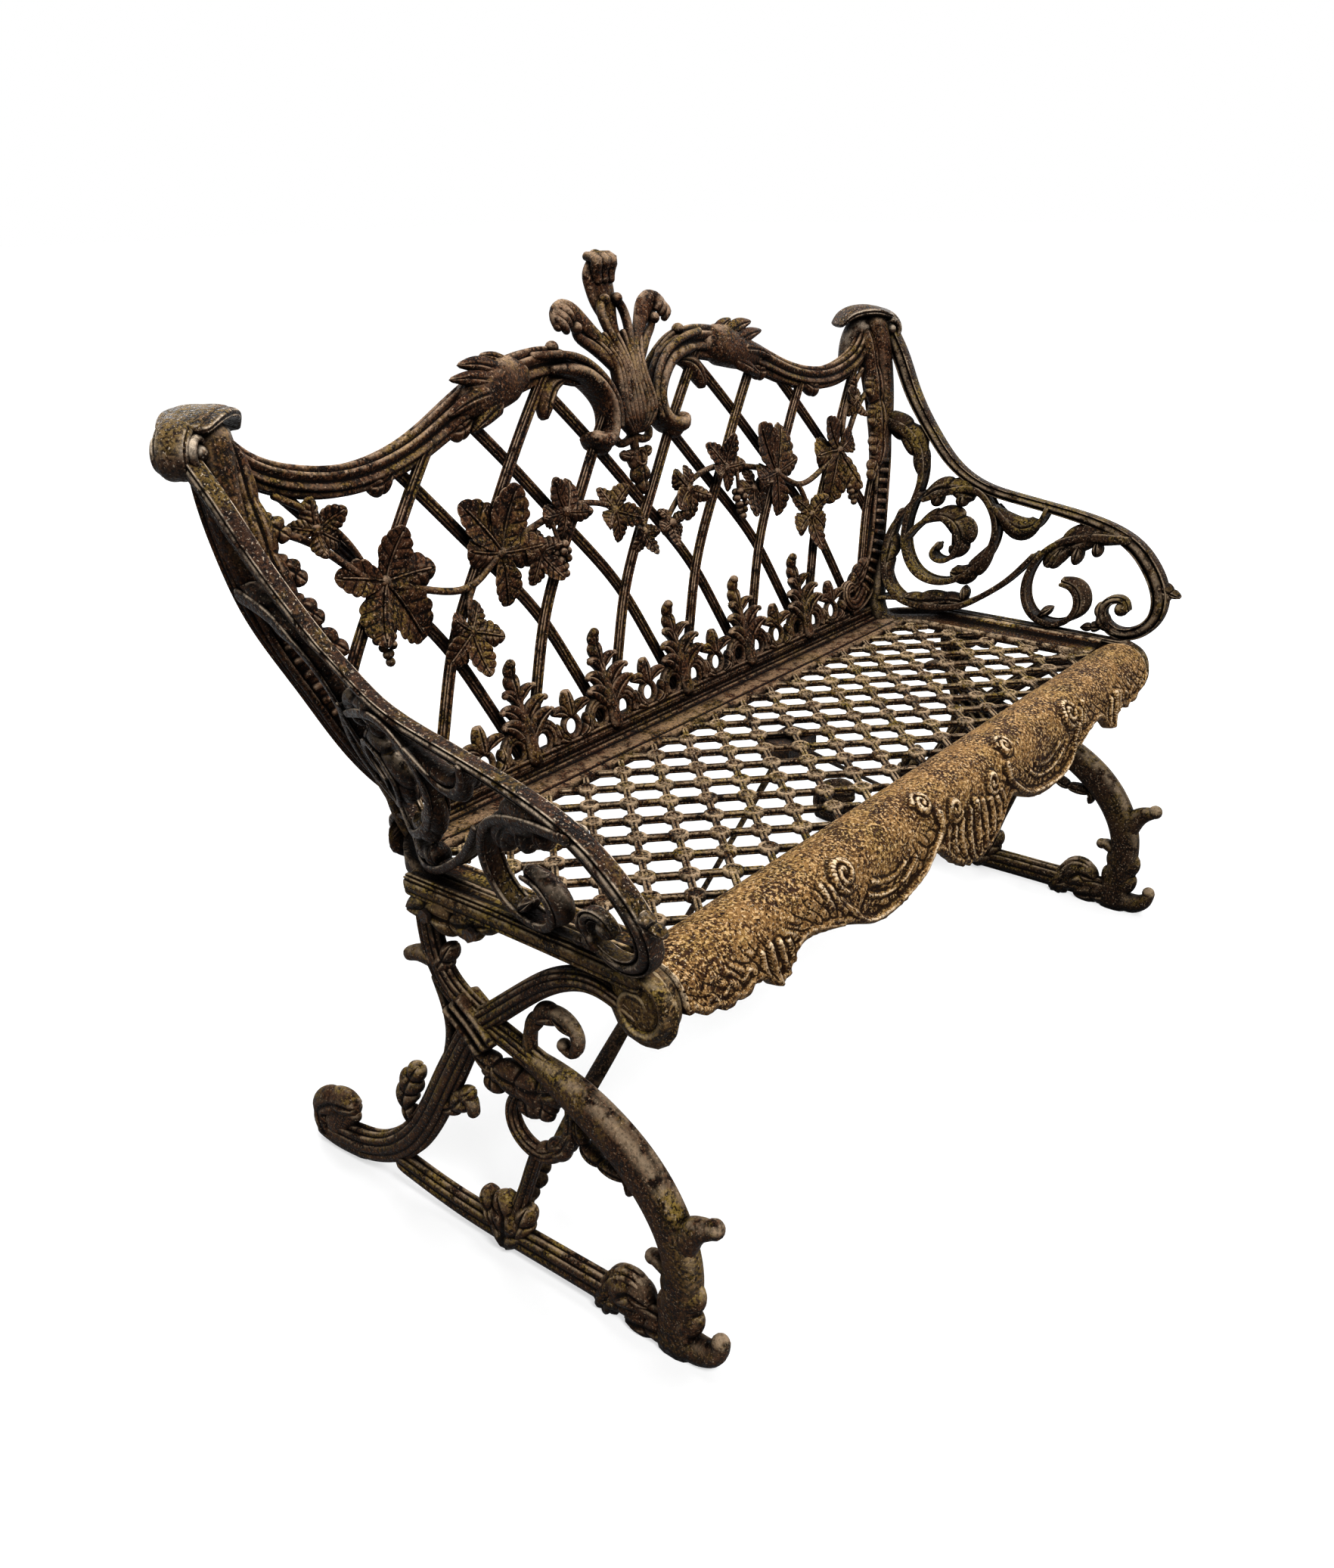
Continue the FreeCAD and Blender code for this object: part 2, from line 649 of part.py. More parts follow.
# Stay rods from the end knots to a bracket under the middle of the seat

bracket_top = seat_face - grille_thick
bracket_low = bracket_top - bracket_high
bracket_spot = V(-bracket_long / 2, -bracket_wide / 2, bracket_low)
bracket = Part.makeBox(bracket_long, bracket_wide, bracket_high, bracket_spot)
save("stay_bracket", bracket)
knot_spot = V(-rail_inner - rod_size / 2, -fore(knot_forward), knot_up * leg_up)
meeting = V(-rod_size / 2, 0, bracket_low + bracket_high / 2)
run = meeting - knot_spot
rod = Part.makeCylinder(rod_size / 2, run.Length, knot_spot, run)
socket = Part.makeCylinder(socket_size / 2, socket_long, knot_spot, run)
outside = Part.makeBox(big, 2 * big, big, V(-rail_inner - big, -big, -big / 2))
left_rod = rod.fuse(socket).cut(outside).cut(bracket).removeSplitter()
left_rod = max(left_rod.Solids, key=lambda solid: solid.Volume)
both_ends("stay_rod", left_rod)


# Fasteners: hexagon heads outside, nuts inside

def hexagon(flats, high):
    radius = flats / math.sqrt(3)
    turns = [math.pi * i / 3 for i in range(7)]
    corners = [V(radius * math.cos(turn), radius * math.sin(turn), 0) for turn in turns]
    return Part.Face(Part.makePolygon(corners)).extrude(V(0, 0, high))


def bolt(grip):
    """Bolt along +Z with its head under the origin and its shank through the grip and a nut."""
    head = hexagon(head_flats, head_high)
    head.translate(V(0, 0, -head_high))
    return head.fuse(Part.makeCylinder(bolt_size / 2, grip + nut_high + bolt_proud)).removeSplitter()


def nut(grip):
    body = hexagon(head_flats, nut_high)
    body = body.cut(Part.makeCylinder(bolt_size / 2 + thread_play, nut_high))
    body.translate(V(0, 0, grip))
    return body


def placed(shape, spot, axis):
    copy = shape.copy()
    copy.Placement = FreeCAD.Placement(spot, FreeCAD.Rotation(V(0, 0, 1), axis)).multiply(copy.Placement)
    return copy


seat_grip = end_thick + lug_thick
seat_spots = []
for side in (-1, 1):
    for place in seat_bolt_places:
        seat_spots.append((V(side * half_span, -place, bolt_up), V(-side, 0, 0)))
back_grip = rail_deep + lug_thick
back_spots = [
    (V(place * along, back_edge + rail_deep, back_bolt_up), V(0, -1, 0)) for place in back_bolt_places
]
for name, spots, grip in (("seat", seat_spots, seat_grip), ("back", back_spots, back_grip)):
    save(name + "_bolts", Part.makeCompound([placed(bolt(grip), spot, axis) for spot, axis in spots]))
    save(name + "_nuts", Part.makeCompound([placed(nut(grip), spot, axis) for spot, axis in spots]))
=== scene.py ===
import math
from collections import namedtuple

import bpy
import numpy as np
from mathutils import Matrix, Vector


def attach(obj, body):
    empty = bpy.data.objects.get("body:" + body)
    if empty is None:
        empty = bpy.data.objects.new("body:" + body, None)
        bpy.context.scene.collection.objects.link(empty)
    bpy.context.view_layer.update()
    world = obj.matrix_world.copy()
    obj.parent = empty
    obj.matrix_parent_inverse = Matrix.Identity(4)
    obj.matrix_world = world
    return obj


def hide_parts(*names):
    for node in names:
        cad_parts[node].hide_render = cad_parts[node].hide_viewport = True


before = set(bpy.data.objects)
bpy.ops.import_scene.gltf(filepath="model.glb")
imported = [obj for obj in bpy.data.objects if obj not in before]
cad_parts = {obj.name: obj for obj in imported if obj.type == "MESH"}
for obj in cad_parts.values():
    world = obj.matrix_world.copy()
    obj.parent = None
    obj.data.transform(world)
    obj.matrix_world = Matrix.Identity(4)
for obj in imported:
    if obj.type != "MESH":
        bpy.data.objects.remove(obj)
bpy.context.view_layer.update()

MM = 0.001

# Planes of the castings, in millimetres: every ornament is drawn as (across, up, out)
END_MIDDLE = 528.0
SEAT_TOP = 410.0
ARM_FOOT = 521.0
ARM_FLARE = 0.27
ARM_SPLAY = 0.10
ARM_TUCK = 40.0  # inwards, low at the arm's rear
TUCK_START, TUCK_RUN = 40.0, 130.0  # behind the bench's middle, and on from there
TUCK_TOP, TUCK_DROP = 640.0, 200.0  # above the floor, and down from there
TUCK_BACK, TUCK_LIFT = 0.46, 0.15  # shares of the tuck that also go backwards and up
BACK_FOOT = np.array([0.0, 161.0, 407.0])
LEAN = math.radians(12.4)
BACK_UP = np.array([0.0, math.sin(LEAN), math.cos(LEAN)])
BACK_OUT = np.array([0.0, -math.cos(LEAN), math.sin(LEAN)])


def end_plane(points):
    """Left end casting: forward, up, outward."""
    return np.stack([-END_MIDDLE - points[:, 2], -points[:, 0], np.maximum(points[:, 1], 0.0)], -1)


def arm_plane(points):
    """Left arm: leans outwards towards its top and its front, tucks in to the stile low at its rear."""
    forward, up, out = points.T
    rear = np.clip((-forward - TUCK_START) / TUCK_RUN, 0, 1)
    low = np.clip((TUCK_TOP - up) / TUCK_DROP, 0, 1)
    tuck = ARM_TUCK * rear * rear * (3 - 2 * rear) * low
    across = ARM_FOOT + ARM_SPLAY * forward + ARM_FLARE * (up - SEAT_TOP) - tuck
    return np.stack([-across - out, -forward - TUCK_BACK * tuck, up + TUCK_LIFT * tuck], -1)


def back_plane(points):
    """Back panel: along the bench, up the slope, towards the sitter."""
    out = points[:, 2:3] * BACK_OUT + points[:, 1:2] * BACK_UP + BACK_FOOT
    out[:, 0] = points[:, 0]
    return out


def flat_plane(points):
    """Seat: along the bench, towards the back, up."""
    return points


def front_plane(points):
    """Upright plane along the bench: along, up, towards the front."""
    return np.stack([points[:, 0], -points[:, 2], points[:, 1]], -1)


class Shape:
    """Closed meshes of one piece, in millimetres, drawn in a plane."""

    def __init__(self, plane):
        self.plane = plane
        self.points = []
        self.quads = []
        self.tris = []
        self.count = 0

    def add(self, points, quads, tris):
        """Put a closed mesh in its plane, its faces turned outwards."""
        points = self.plane(points)
        corners = np.concatenate([quads[:, [0, 1, 2]], quads[:, [0, 2, 3]], tris]).astype(int)
        a, b, c = (points[corners[:, k]] for k in range(3))
        if np.einsum("ij,ij->i", a, np.cross(b, c)).sum() < 0:
            quads = quads[:, ::-1]
            tris = tris[:, ::-1]
        self.points.append(points)
        self.quads.append(quads + self.count)
        self.tris.append(tris + self.count)
        self.count += len(points)

    def mirror(self):
        """The same piece on the other half of the bench."""
        other = Shape(self.plane)
        other.points = [points * [-1, 1, 1] for points in self.points]
        other.quads = [quads[:, ::-1] for quads in self.quads]
        other.tris = [tris[:, ::-1] for tris in self.tris]
        other.count = self.count
        return other


NO_TRIS = np.zeros((0, 3), int)


def smooth(rows, step=4.0):
    """Natural cubic curve through rows, sampled about every step millimetres."""
    a = np.array(rows, float)
    d = np.r_[0.0, np.cumsum(np.linalg.norm(np.diff(a[:, :2], axis=0), axis=1) + 1e-6)]
    h = np.diff(d)[:, None]
    n = len(a)
    m = np.zeros_like(a)
    if n > 2:
        k = np.arange(n - 2)
        matrix = np.zeros((n - 2, n - 2))
        matrix[k, k] = 2 * (h[:-1] + h[1:])[:, 0]
        matrix[k[:-1], k[1:]] = h[1:-1, 0]
        matrix[k[1:], k[:-1]] = h[1:-1, 0]
        m[1:-1] = np.linalg.solve(matrix, 6 * ((a[2:] - a[1:-1]) / h[1:] - (a[1:-1] - a[:-2]) / h[:-1]))
    t = np.linspace(0, d[-1], max(7, int(d[-1] / step) + 1))
    k = np.clip(np.searchsorted(d, t, "right") - 1, 0, n - 2)
    low, high, g = (t - d[k])[:, None], (d[k + 1] - t)[:, None], h[k]
    curve = m[k] * high ** 3 / (6 * g) + m[k + 1] * low ** 3 / (6 * g)
    return curve + (a[k] / g - m[k] * g / 6) * high + (a[k + 1] / g - m[k + 1] * g / 6) * low


def frames(centre):
    """Unit directions along, beside and out of a line of (across, up, out) points."""
    along = np.gradient(centre, axis=0)
    along /= np.linalg.norm(along, axis=1)[:, None] + 1e-9
    side = np.stack([-along[:, 1], along[:, 0], 0 * along[:, 0]], -1)
    size = np.linalg.norm(side, axis=1)
    for i in range(len(side)):
        if size[i] < 0.12 and i:
            side[i] = side[i - 1]
        else:
            side[i] /= size[i] + 1e-9
            if i and side[i] @ side[i - 1] < 0:
                side[i] = -side[i]
    return along, side, np.cross(along, side)


def sweep(shape, rings, tips=None):
    """Closed tube through rings of points, with a fan round a tip at each end."""
    n, m = rings.shape[:2]
    if tips is None:
        tips = [rings[0].mean(0), rings[-1].mean(0)]
    grid = np.arange(n * m).reshape(n, m)
    after = np.roll(grid, -1, 1)
    quads = np.stack([grid[:-1], after[:-1], after[1:], grid[1:]], -1).reshape(-1, 4)
    first_fan = np.stack([np.full(m, n * m), after[0], grid[0]], -1)
    last_fan = np.stack([np.full(m, n * m + 1), grid[-1], after[-1]], -1)
    shape.add(np.concatenate([rings.reshape(-1, 3), tips]), quads, np.concatenate([first_fan, last_fan]))


THINNEST = 0.8  # no curve draws a bar or leaf narrower than this


def centre_line(rows, step):
    """Points on a curve through (across, up, width[, out]) rows, and its width at each."""
    path = smooth(rows, step)
    out = path[:, 3] if path.shape[1] > 3 else 0 * path[:, 0]
    return np.stack([path[:, 0], path[:, 1], out], -1), np.maximum(path[:, 2], THINNEST)


END_ANGLES = np.radians([22.0, 45.0, 65.0, 82.0])
END_REACH = 0.45 * np.sin(END_ANGLES)[:, None]  # of a bar's rounded end, in widths


def bar(shape, rows, thick, reeds=0, cut=0.22, boxy=2.3, step=4.0):
    """Rounded bar along a line of (across, up, width[, out]) rows, reeded lengthwise if asked."""
    centre, width = centre_line(rows, step)
    along, side, up = frames(centre)
    deep = thick * np.minimum(1, (width / width.max()) ** 0.6)
    head = centre[0] - along[0] * width[0] * END_REACH[::-1]
    tail = centre[-1] + along[-1] * width[-1] * END_REACH
    sizes = np.r_[np.cos(END_ANGLES[::-1]), np.ones(len(centre)), np.cos(END_ANGLES)]
    centre = np.concatenate([head, centre, tail])
    pick = np.clip(np.arange(len(centre)) - len(head), 0, len(width) - 1)
    count = reeds * 6 if reeds else 14
    angle = 2 * math.pi * np.arange(count) / count
    power = 2 / boxy
    x = np.sign(np.cos(angle)) * np.abs(np.cos(angle)) ** power / 2
    y = np.sign(np.sin(angle)) * np.abs(np.sin(angle)) ** power / 2
    if reeds:
        ridge = 1 - cut * (1 - np.abs(np.sin(reeds * angle / 2)) ** 0.8)
        x, y = x * ridge, y * ridge
    across = (width[pick] * sizes)[:, None] * x
    out = (deep[pick] * sizes)[:, None] * y
    rings = centre[:, None] + side[pick][:, None] * across[..., None] + up[pick][:, None] * out[..., None]
    sweep(shape, rings)


def beaded(shape, rows, thick):
    """Broad smooth bar between two slim beads."""
    path = smooth(rows, 6.0)
    side = frames(np.c_[path[:, :2], 0 * path[:, 0]])[1]
    for shift, share, depth in ((0.0, 0.62, 1.0), (-0.41, 0.2, 0.8), (0.41, 0.2, 0.8)):
        spots = path[:, :2] + side[:, :2] * path[:, 2:3] * shift
        bar(shape, np.c_[spots, path[:, 2] * share], thick * depth)


def arc(spot, radius, start, stop, width, out):
    """Rows of a bar along part of a circle, from one angle to another."""
    angle = np.radians(np.linspace(start, stop, 9))
    x = spot[0] + radius * np.cos(angle)
    y = spot[1] + radius * np.sin(angle)
    return np.stack([x, y, width + 0 * x, out + 0 * x], -1)


COLUMNS = np.sin(np.linspace(-1, 1, 15) * math.pi / 2)  # across a leaf, closer at its edges


def leaf(shape, rows, thick, lobes=4, notch=0.4, swept=0.45, flute=0.4, rib=0.3, cup=0.0, back=1.0):
    """Lobed leaf along a midrib of (across, up, width[, out]) rows, crowned on both faces.

    notch cuts in between the lobes and flute hollows the face there, swept draws the edges ahead of the
    midrib, rib is the groove along it, cup dishes the whole leaf and back is the rear face's share of relief.
    """
    length = np.linalg.norm(np.diff(np.array(rows, float)[:, :2], axis=0), axis=1).sum()
    centre, width = centre_line(rows, min(4.0, max(1.0, length / (lobes * 9 + 4))))
    along, side, up = frames(centre)
    s = np.linspace(0, 1, len(centre))
    lobe = np.abs(np.sin(math.pi * lobes * s)) ** 0.6
    half = width / 2 * (1 - notch * (1 - lobe))
    half *= np.clip(np.minimum(s, 1 - s) * 30, 0.05, 1) ** 0.5  # rounded off at both ends
    c = COLUMNS
    crown = (1 - np.abs(c) ** 2.4) ** 0.6 * (1 - rib * np.exp(-(c / 0.14) ** 2))
    deep = thick / 2 * (0.3 + 0.7 * (half / half.max()) ** 0.6)
    rise = deep[:, None] * crown * (1 - flute * (1 - lobe)[:, None] * np.abs(c) ** 0.5)
    dish = cup * half[:, None] * c ** 2
    across = half[:, None] * c
    ahead = swept * half[:, None] * np.abs(c)
    loop = np.r_[np.arange(len(c)), np.arange(len(c) - 2, 0, -1)]
    out = np.concatenate([dish + rise, (dish - back * rise)[:, -2:0:-1]], axis=1)
    rings = centre[:, None] + side[:, None] * across[:, loop][..., None]
    rings = rings + along[:, None] * ahead[:, loop][..., None] + up[:, None] * out[..., None]
    sweep(shape, rings)


# Widths of a leaf from its stalk to its tip
OVATE = np.array([0.2, 0.62, 0.9, 1.0, 0.96, 0.84, 0.66, 0.42, 0.1])
SPEAR = np.array([0.55, 0.72, 0.9, 1.0, 0.96, 0.86, 0.72, 0.5, 0.16])


def blade(spot, angle, length, width, bend=0.0, curl=0.0, lift=0.0, form=OVATE):
    """Rows of a midrib that starts at a spot, turns by bend and lifts by curl."""
    s = np.linspace(0, 1, len(form))
    heading = np.radians(angle + bend * s)
    step = length / (len(form) - 1)
    x = spot[0] + np.r_[0, np.cumsum(np.cos(heading[1:]))] * step
    y = spot[1] + np.r_[0, np.cumsum(np.sin(heading[1:]))] * step
    return np.stack([x, y, width * form, lift + curl * s ** 2], -1)


def ball(shape, spot, radius, flat=1.0):
    """Rounded knob at (across, up, out)."""
    lat = np.linspace(-math.pi / 2, math.pi / 2, 9)[1:-1]
    lon = 2 * math.pi * np.arange(14) / 14
    x = np.cos(lat)[:, None] * np.cos(lon)
    y = np.cos(lat)[:, None] * np.sin(lon)
    z = np.sin(lat)[:, None] + 0 * lon
    spot = np.array(spot, float)
    pole = np.array([0, 0, radius * flat])
    sweep(shape, np.stack([x, y, z * flat], -1) * radius + spot, [spot - pole, spot + pole])


def ring(shape, spot, radius, width, thick, sides=12, turns=28):
    """Ring lying in the plane around (across, up, out)."""
    a = 2 * math.pi * np.arange(turns) / turns
    b = 2 * math.pi * np.arange(sides) / sides
    r = radius + np.cos(b) * width / 2
    x = spot[0] + np.cos(a)[:, None] * r
    y = spot[1] + np.sin(a)[:, None] * r
    z = spot[2] + 0 * a[:, None] + np.sin(b) * thick / 2
    points = np.stack([x, y, z], -1).reshape(-1, 3)
    grid = np.arange(turns * sides).reshape(turns, sides)
    after = np.roll(grid, -1, 1)
    quads = np.stack([grid, after, np.roll(after, -1, 0), np.roll(grid, -1, 0)], -1).reshape(-1, 4)
    shape.add(points, quads, NO_TRIS)


def moulding(shape, section, path):
    """Closed section of (side, height) points run along a list of (x, y, direction angle) places."""
    section = np.array(section, float)
    rings = []
    for x, y, angle in path:
        turn = math.radians(angle)
        side = np.array([math.cos(turn), math.sin(turn)])
        rings.append(np.c_[np.array([x, y]) + section[:, :1] * side, section[:, 1]])
    sweep(shape, np.array(rings))


# Materials: weathered cast iron from noise, height and the curvature of the castings, with painted shade and
# painted highlights

class Nodes:
    """Short calls for building a node tree."""

    def __init__(self, owner):
        self.tree = owner.node_tree
        self.tree.nodes.clear()

    def new(self, kind, inputs=None, **settings):
        """Node with its settings, and with plain values or other nodes' outputs on its inputs."""
        node = self.tree.nodes.new("ShaderNode" + kind)
        for key, value in settings.items():
            setattr(node, key, value)
        for key, value in (inputs or {}).items():
            if hasattr(value, "is_output"):
                self.tree.links.new(value, node.inputs[key])
            else:
                node.inputs[key].default_value = value
        return node

    def noise(self, vector, scale, detail, rough):
        inputs = {"Vector": vector, "Scale": scale, "Detail": detail, "Roughness": rough}
        return self.new("TexNoise", inputs).outputs["Fac"]

    def ramp(self, value, low, high):
        """Soft step from nought at low to one at high."""
        inputs = {"Value": value, "From Min": low, "From Max": high}
        return self.new("MapRange", inputs, interpolation_type="SMOOTHSTEP").outputs["Result"]

    def math(self, kind, a, b):
        clamp = kind in ("ADD", "SUBTRACT")
        return self.new("Math", {0: a, 1: b}, operation=kind, use_clamp=clamp).outputs[0]

    def times(self, a, b):
        return self.math("MULTIPLY", a, b)

    def seen(self):
        """One where the eye, a reflection or a refraction looks, nought for the light itself."""
        path = self.new("LightPath").outputs
        looks = self.math("ADD", path["Is Camera Ray"], path["Is Glossy Ray"])
        return self.math("ADD", looks, path["Is Transmission Ray"])

    def mix(self, share, a, b):
        return self.new("Mix", {"Factor": share, "A": a, "B": b}, data_type="RGBA").outputs["Result"]


def colour(r, g, b):
    """Linear colour from the 0 to 255 values that a screen shows."""
    def linear(v):
        v /= 255.0
        return v / 12.92 if v <= 0.04045 else ((v + 0.055) / 1.055) ** 2.4
    return (linear(r), linear(g), linear(b), 1.0)


OCHRE = colour(146, 122, 56)
CLOUDS, PATCHES, SCUFFS = 30.0, 13.0, 60.0  # scales of the noises, per metre
GRAIN, FLECKS, PITS, CRATERS = 290.0, 400.0, 300.0, 120.0
SHADE_REACH = 0.03  # metres within which a hollow gets painted shade
RELIEF = 0.003  # metres of bump

# Skin in three tones and the colour of worn ridges, which also paints their highlights, as a screen shows
# them, then shares of lichen, of wear and painted highlight on ridges, and of pits, the least roughness and
# the specular level. A mesh that isn't cast here has no "edge" attribute.
Look = namedtuple("Look", "dark mid light wear lichen worn pits rough shine cast", defaults=(0.03, True))
LOOKS = {
    "end_iron": ((16, 8, 5), (54, 35, 23), (86, 60, 42), (174, 150, 122), 0.6, 0.6, 0.4, 0.45),
    "mossy_iron": ((20, 12, 6), (74, 53, 32), (116, 91, 56), (190, 166, 130), 0.85, 0.7, 0.5, 0.45),
    # a darker iron for the far end's castings and arms: painted shade
    "far_shaded_iron": ((10, 5, 3), (37, 24, 15), (62, 44, 30), (170, 148, 122), 0.35, 0.5, 0.4, 0.45),
    "arm_iron": ((12, 6, 4), (43, 27, 18), (76, 52, 37), (214, 192, 166), 0.25, 0.8, 0.5, 0.3),
    "cap_iron": ((18, 11, 7), (60, 43, 32), (94, 72, 54), (214, 194, 170), 0.25, 0.7, 0.5, 0.3),
    "back_iron": ((11, 4, 2), (53, 31, 19), (88, 58, 38), (184, 154, 126), 0.33, 0.45, 0.6, 0.45),
    "seat_iron": ((10, 4, 2), (49, 29, 15), (82, 56, 33), (198, 170, 136), 0.48, 0.5, 0.9, 0.5),
    "border_iron": ((14, 6, 3), (48, 27, 17), (80, 51, 33), (176, 144, 110), 0.15, 0.4, 0.8, 0.5),
    "apron_iron": ((44, 24, 10), (121, 88, 50), (188, 154, 108), (236, 210, 174), 0.2, 0.75, 1.0, 0.55),
    "rod_iron": ((12, 8, 5), (38, 27, 19), (66, 50, 36), (100, 84, 68), 0.1, 0.4, 0.6, 0.5),
    "bolt_steel": ((16, 10, 7), (50, 34, 22), (80, 57, 38), (120, 100, 82), 0.0, 0.5, 0.6, 0.5, 0.1, False),
}


def iron(name, look):
    """Weathered iron: rust grain on a dark skin, lichen above, pale worn ridges with a painted highlight
    where they face up, painted shade in grooves, hollows and on undersides, and black pits.
    """
    material = bpy.data.materials.new(name)
    material.use_nodes = True
    n = Nodes(material)
    dark, mid, light, wear_and_highlight = (colour(*tone) for tone in look[:4])
    pit_and_shade_black = (dark[0] * 0.2, dark[1] * 0.15, dark[2] * 0.12, 1.0)
    spot = n.new("TexCoord").outputs["Object"]
    lift = n.new("SeparateXYZ", {0: n.new("NewGeometry").outputs["Normal"]}).outputs["Z"]
    crevice_shade = n.new("AmbientOcclusion", {"Distance": SHADE_REACH}, samples=8).outputs["AO"]
    grain = n.noise(spot, GRAIN, 2.0, 0.6)
    flecks = n.noise(spot, FLECKS, 2.0, 0.5)
    blend = n.math("ADD", n.times(n.noise(spot, CLOUDS, 4.0, 0.6), 0.5), n.times(grain, 0.5))
    tone = n.mix(n.ramp(blend, 0.42, 0.55), dark, mid)
    tone = n.mix(n.times(n.ramp(grain, 0.53, 0.63), 0.8), tone, light)
    patch = n.ramp(n.noise(spot, PATCHES, 6.0, 0.7), 0.46, 0.6)
    up = n.ramp(lift, -0.2, 0.6)
    growth = n.times(n.times(patch, up), n.ramp(grain, 0.42, 0.54))
    tone = n.mix(n.times(growth, look.lichen), tone, OCHRE)
    tone = n.mix(n.times(n.ramp(flecks, 0.62, 0.7), 0.5), tone, wear_and_highlight)
    if look.cast:
        edge = n.new("Attribute", attribute_name="edge").outputs["Fac"]
        scuffs = n.ramp(n.noise(spot, SCUFFS, 3.0, 0.6), 0.38, 0.56)
        # ridges facing up take the pale wear colour: real wear and a painted highlight
        ridge = n.times(n.times(n.ramp(edge, 0.6, 0.8), scuffs), up)
        tone = n.mix(n.times(ridge, look.worn), tone, wear_and_highlight)
        # grooves go black: painted shade
        tone = n.mix(n.times(n.ramp(edge, 0.5, 0.38), 0.95), tone, pit_and_shade_black)
    small = n.ramp(n.noise(spot, PITS, 3.0, 0.7), 0.45, 0.37)
    cells = n.new("TexVoronoi", {"Vector": spot, "Scale": CRATERS}).outputs["Distance"]
    holes = n.math("MAXIMUM", small, n.ramp(cells, 0.2, 0.1))
    tone = n.mix(n.times(holes, look.pits), tone, pit_and_shade_black)
    # surfaces facing down go black: painted shade on undersides
    tone = n.mix(n.times(n.ramp(lift, 0.2, -0.7), 0.75), tone, pit_and_shade_black)
    # hollows close to other surfaces go black: painted shade in crevices
    tone = n.mix(n.times(n.ramp(crevice_shade, 0.94, 0.5), 0.96), tone, pit_and_shade_black)
    rough = n.new("MapRange", {
        "Value": grain, "From Min": 0.35, "From Max": 0.65,
        "To Min": look.rough, "To Max": min(1.0, look.rough + 0.4)})
    coarse = n.math("ADD", n.times(grain, 0.6), n.times(flecks, 0.4))
    relief = n.math("SUBTRACT", coarse, n.times(holes, 0.4 * look.pits))
    bump = n.new("Bump", {"Strength": 0.8, "Distance": RELIEF, "Height": relief})
    shader = n.new("BsdfPrincipled", {
        "Base Color": tone, "Roughness": rough.outputs["Result"],
        "Specular IOR Level": look.shine, "Normal": bump.outputs["Normal"]})
    n.new("OutputMaterial", {0: shader.outputs[0]})
    return material


IRON = {name: iron(name, Look(*look)) for name, look in LOOKS.items()}


def field(items, name, width, kind=np.float32):
    """Array of one field of a mesh's vertices, normals or edges."""
    values = np.empty(len(items) * width, kind)
    items.foreach_get(name, values)
    return values.reshape(-1, width)


BEND_GAIN = 1.6  # how far a bend moves an edge's value from a half


def curvature(mesh):
    """Half on flat places, towards one on ridges and nought in grooves."""
    spots = field(mesh.vertices, "co", 3)
    normals = field(mesh.vertex_normals, "vector", 3)
    a, b = field(mesh.edges, "vertices", 2, np.int32).T
    gap = spots[b] - spots[a]
    length = np.linalg.norm(gap, axis=1) + 1e-7
    bend = np.zeros(len(spots))
    near = np.zeros(len(spots))
    np.add.at(bend, a, np.einsum("ij,ij->i", gap, normals[a]) / length)
    np.add.at(bend, b, -np.einsum("ij,ij->i", gap, normals[b]) / length)
    np.add.at(near, a, 1)
    np.add.at(near, b, 1)
    bend /= np.maximum(near, 1)
    return np.clip(0.5 - bend * BEND_GAIN, 0, 1).astype(np.float32)


def put(name, data):
    """New object in the scene."""
    thing = bpy.data.objects.new(name, data)
    bpy.context.scene.collection.objects.link(thing)
    return thing


def piece(node, shape, slot, look=None, ending="casting"):
    """Mesh object from a shape, in place of its CAD node, in its slot's iron or another look."""
    name = node + "_" + ending
    points = np.concatenate(shape.points) * MM
    quads = np.concatenate(shape.quads)
    tris = np.concatenate(shape.tris)
    mesh = bpy.data.meshes.new(name)
    mesh.vertices.add(len(points))
    mesh.vertices.foreach_set("co", points.astype(np.float32).ravel())
    loops = np.concatenate([quads.ravel(), tris.ravel()]).astype(np.int32)
    sizes = np.r_[np.full(len(quads), 4), np.full(len(tris), 3)]
    mesh.loops.add(len(loops))
    mesh.loops.foreach_set("vertex_index", loops)
    mesh.polygons.add(len(sizes))
    mesh.polygons.foreach_set("loop_start", np.r_[0, np.cumsum(sizes)[:-1]].astype(np.int32))
    mesh.update(calc_edges=True)
    mesh.validate()
    mesh.polygons.foreach_set("use_smooth", np.ones(len(mesh.polygons), bool))
    edge = mesh.attributes.new("edge", "FLOAT", "POINT")
    edge.data.foreach_set("value", curvature(mesh))
    mesh.materials.append(IRON[look or slot])
    thing = put(name, mesh)
    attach(thing, "root")
    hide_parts(node)


def both(name, shape, slot, left_look=None, right_look="far_shaded_iron"):
    """Left and right piece from a shape drawn on the left. By default the far end gets a darker copy of its
    iron, which is painted shade.
    """
    piece("left_" + name, shape, slot, left_look)
    piece("right_" + name, shape.mirror(), slot, right_look)


# End castings

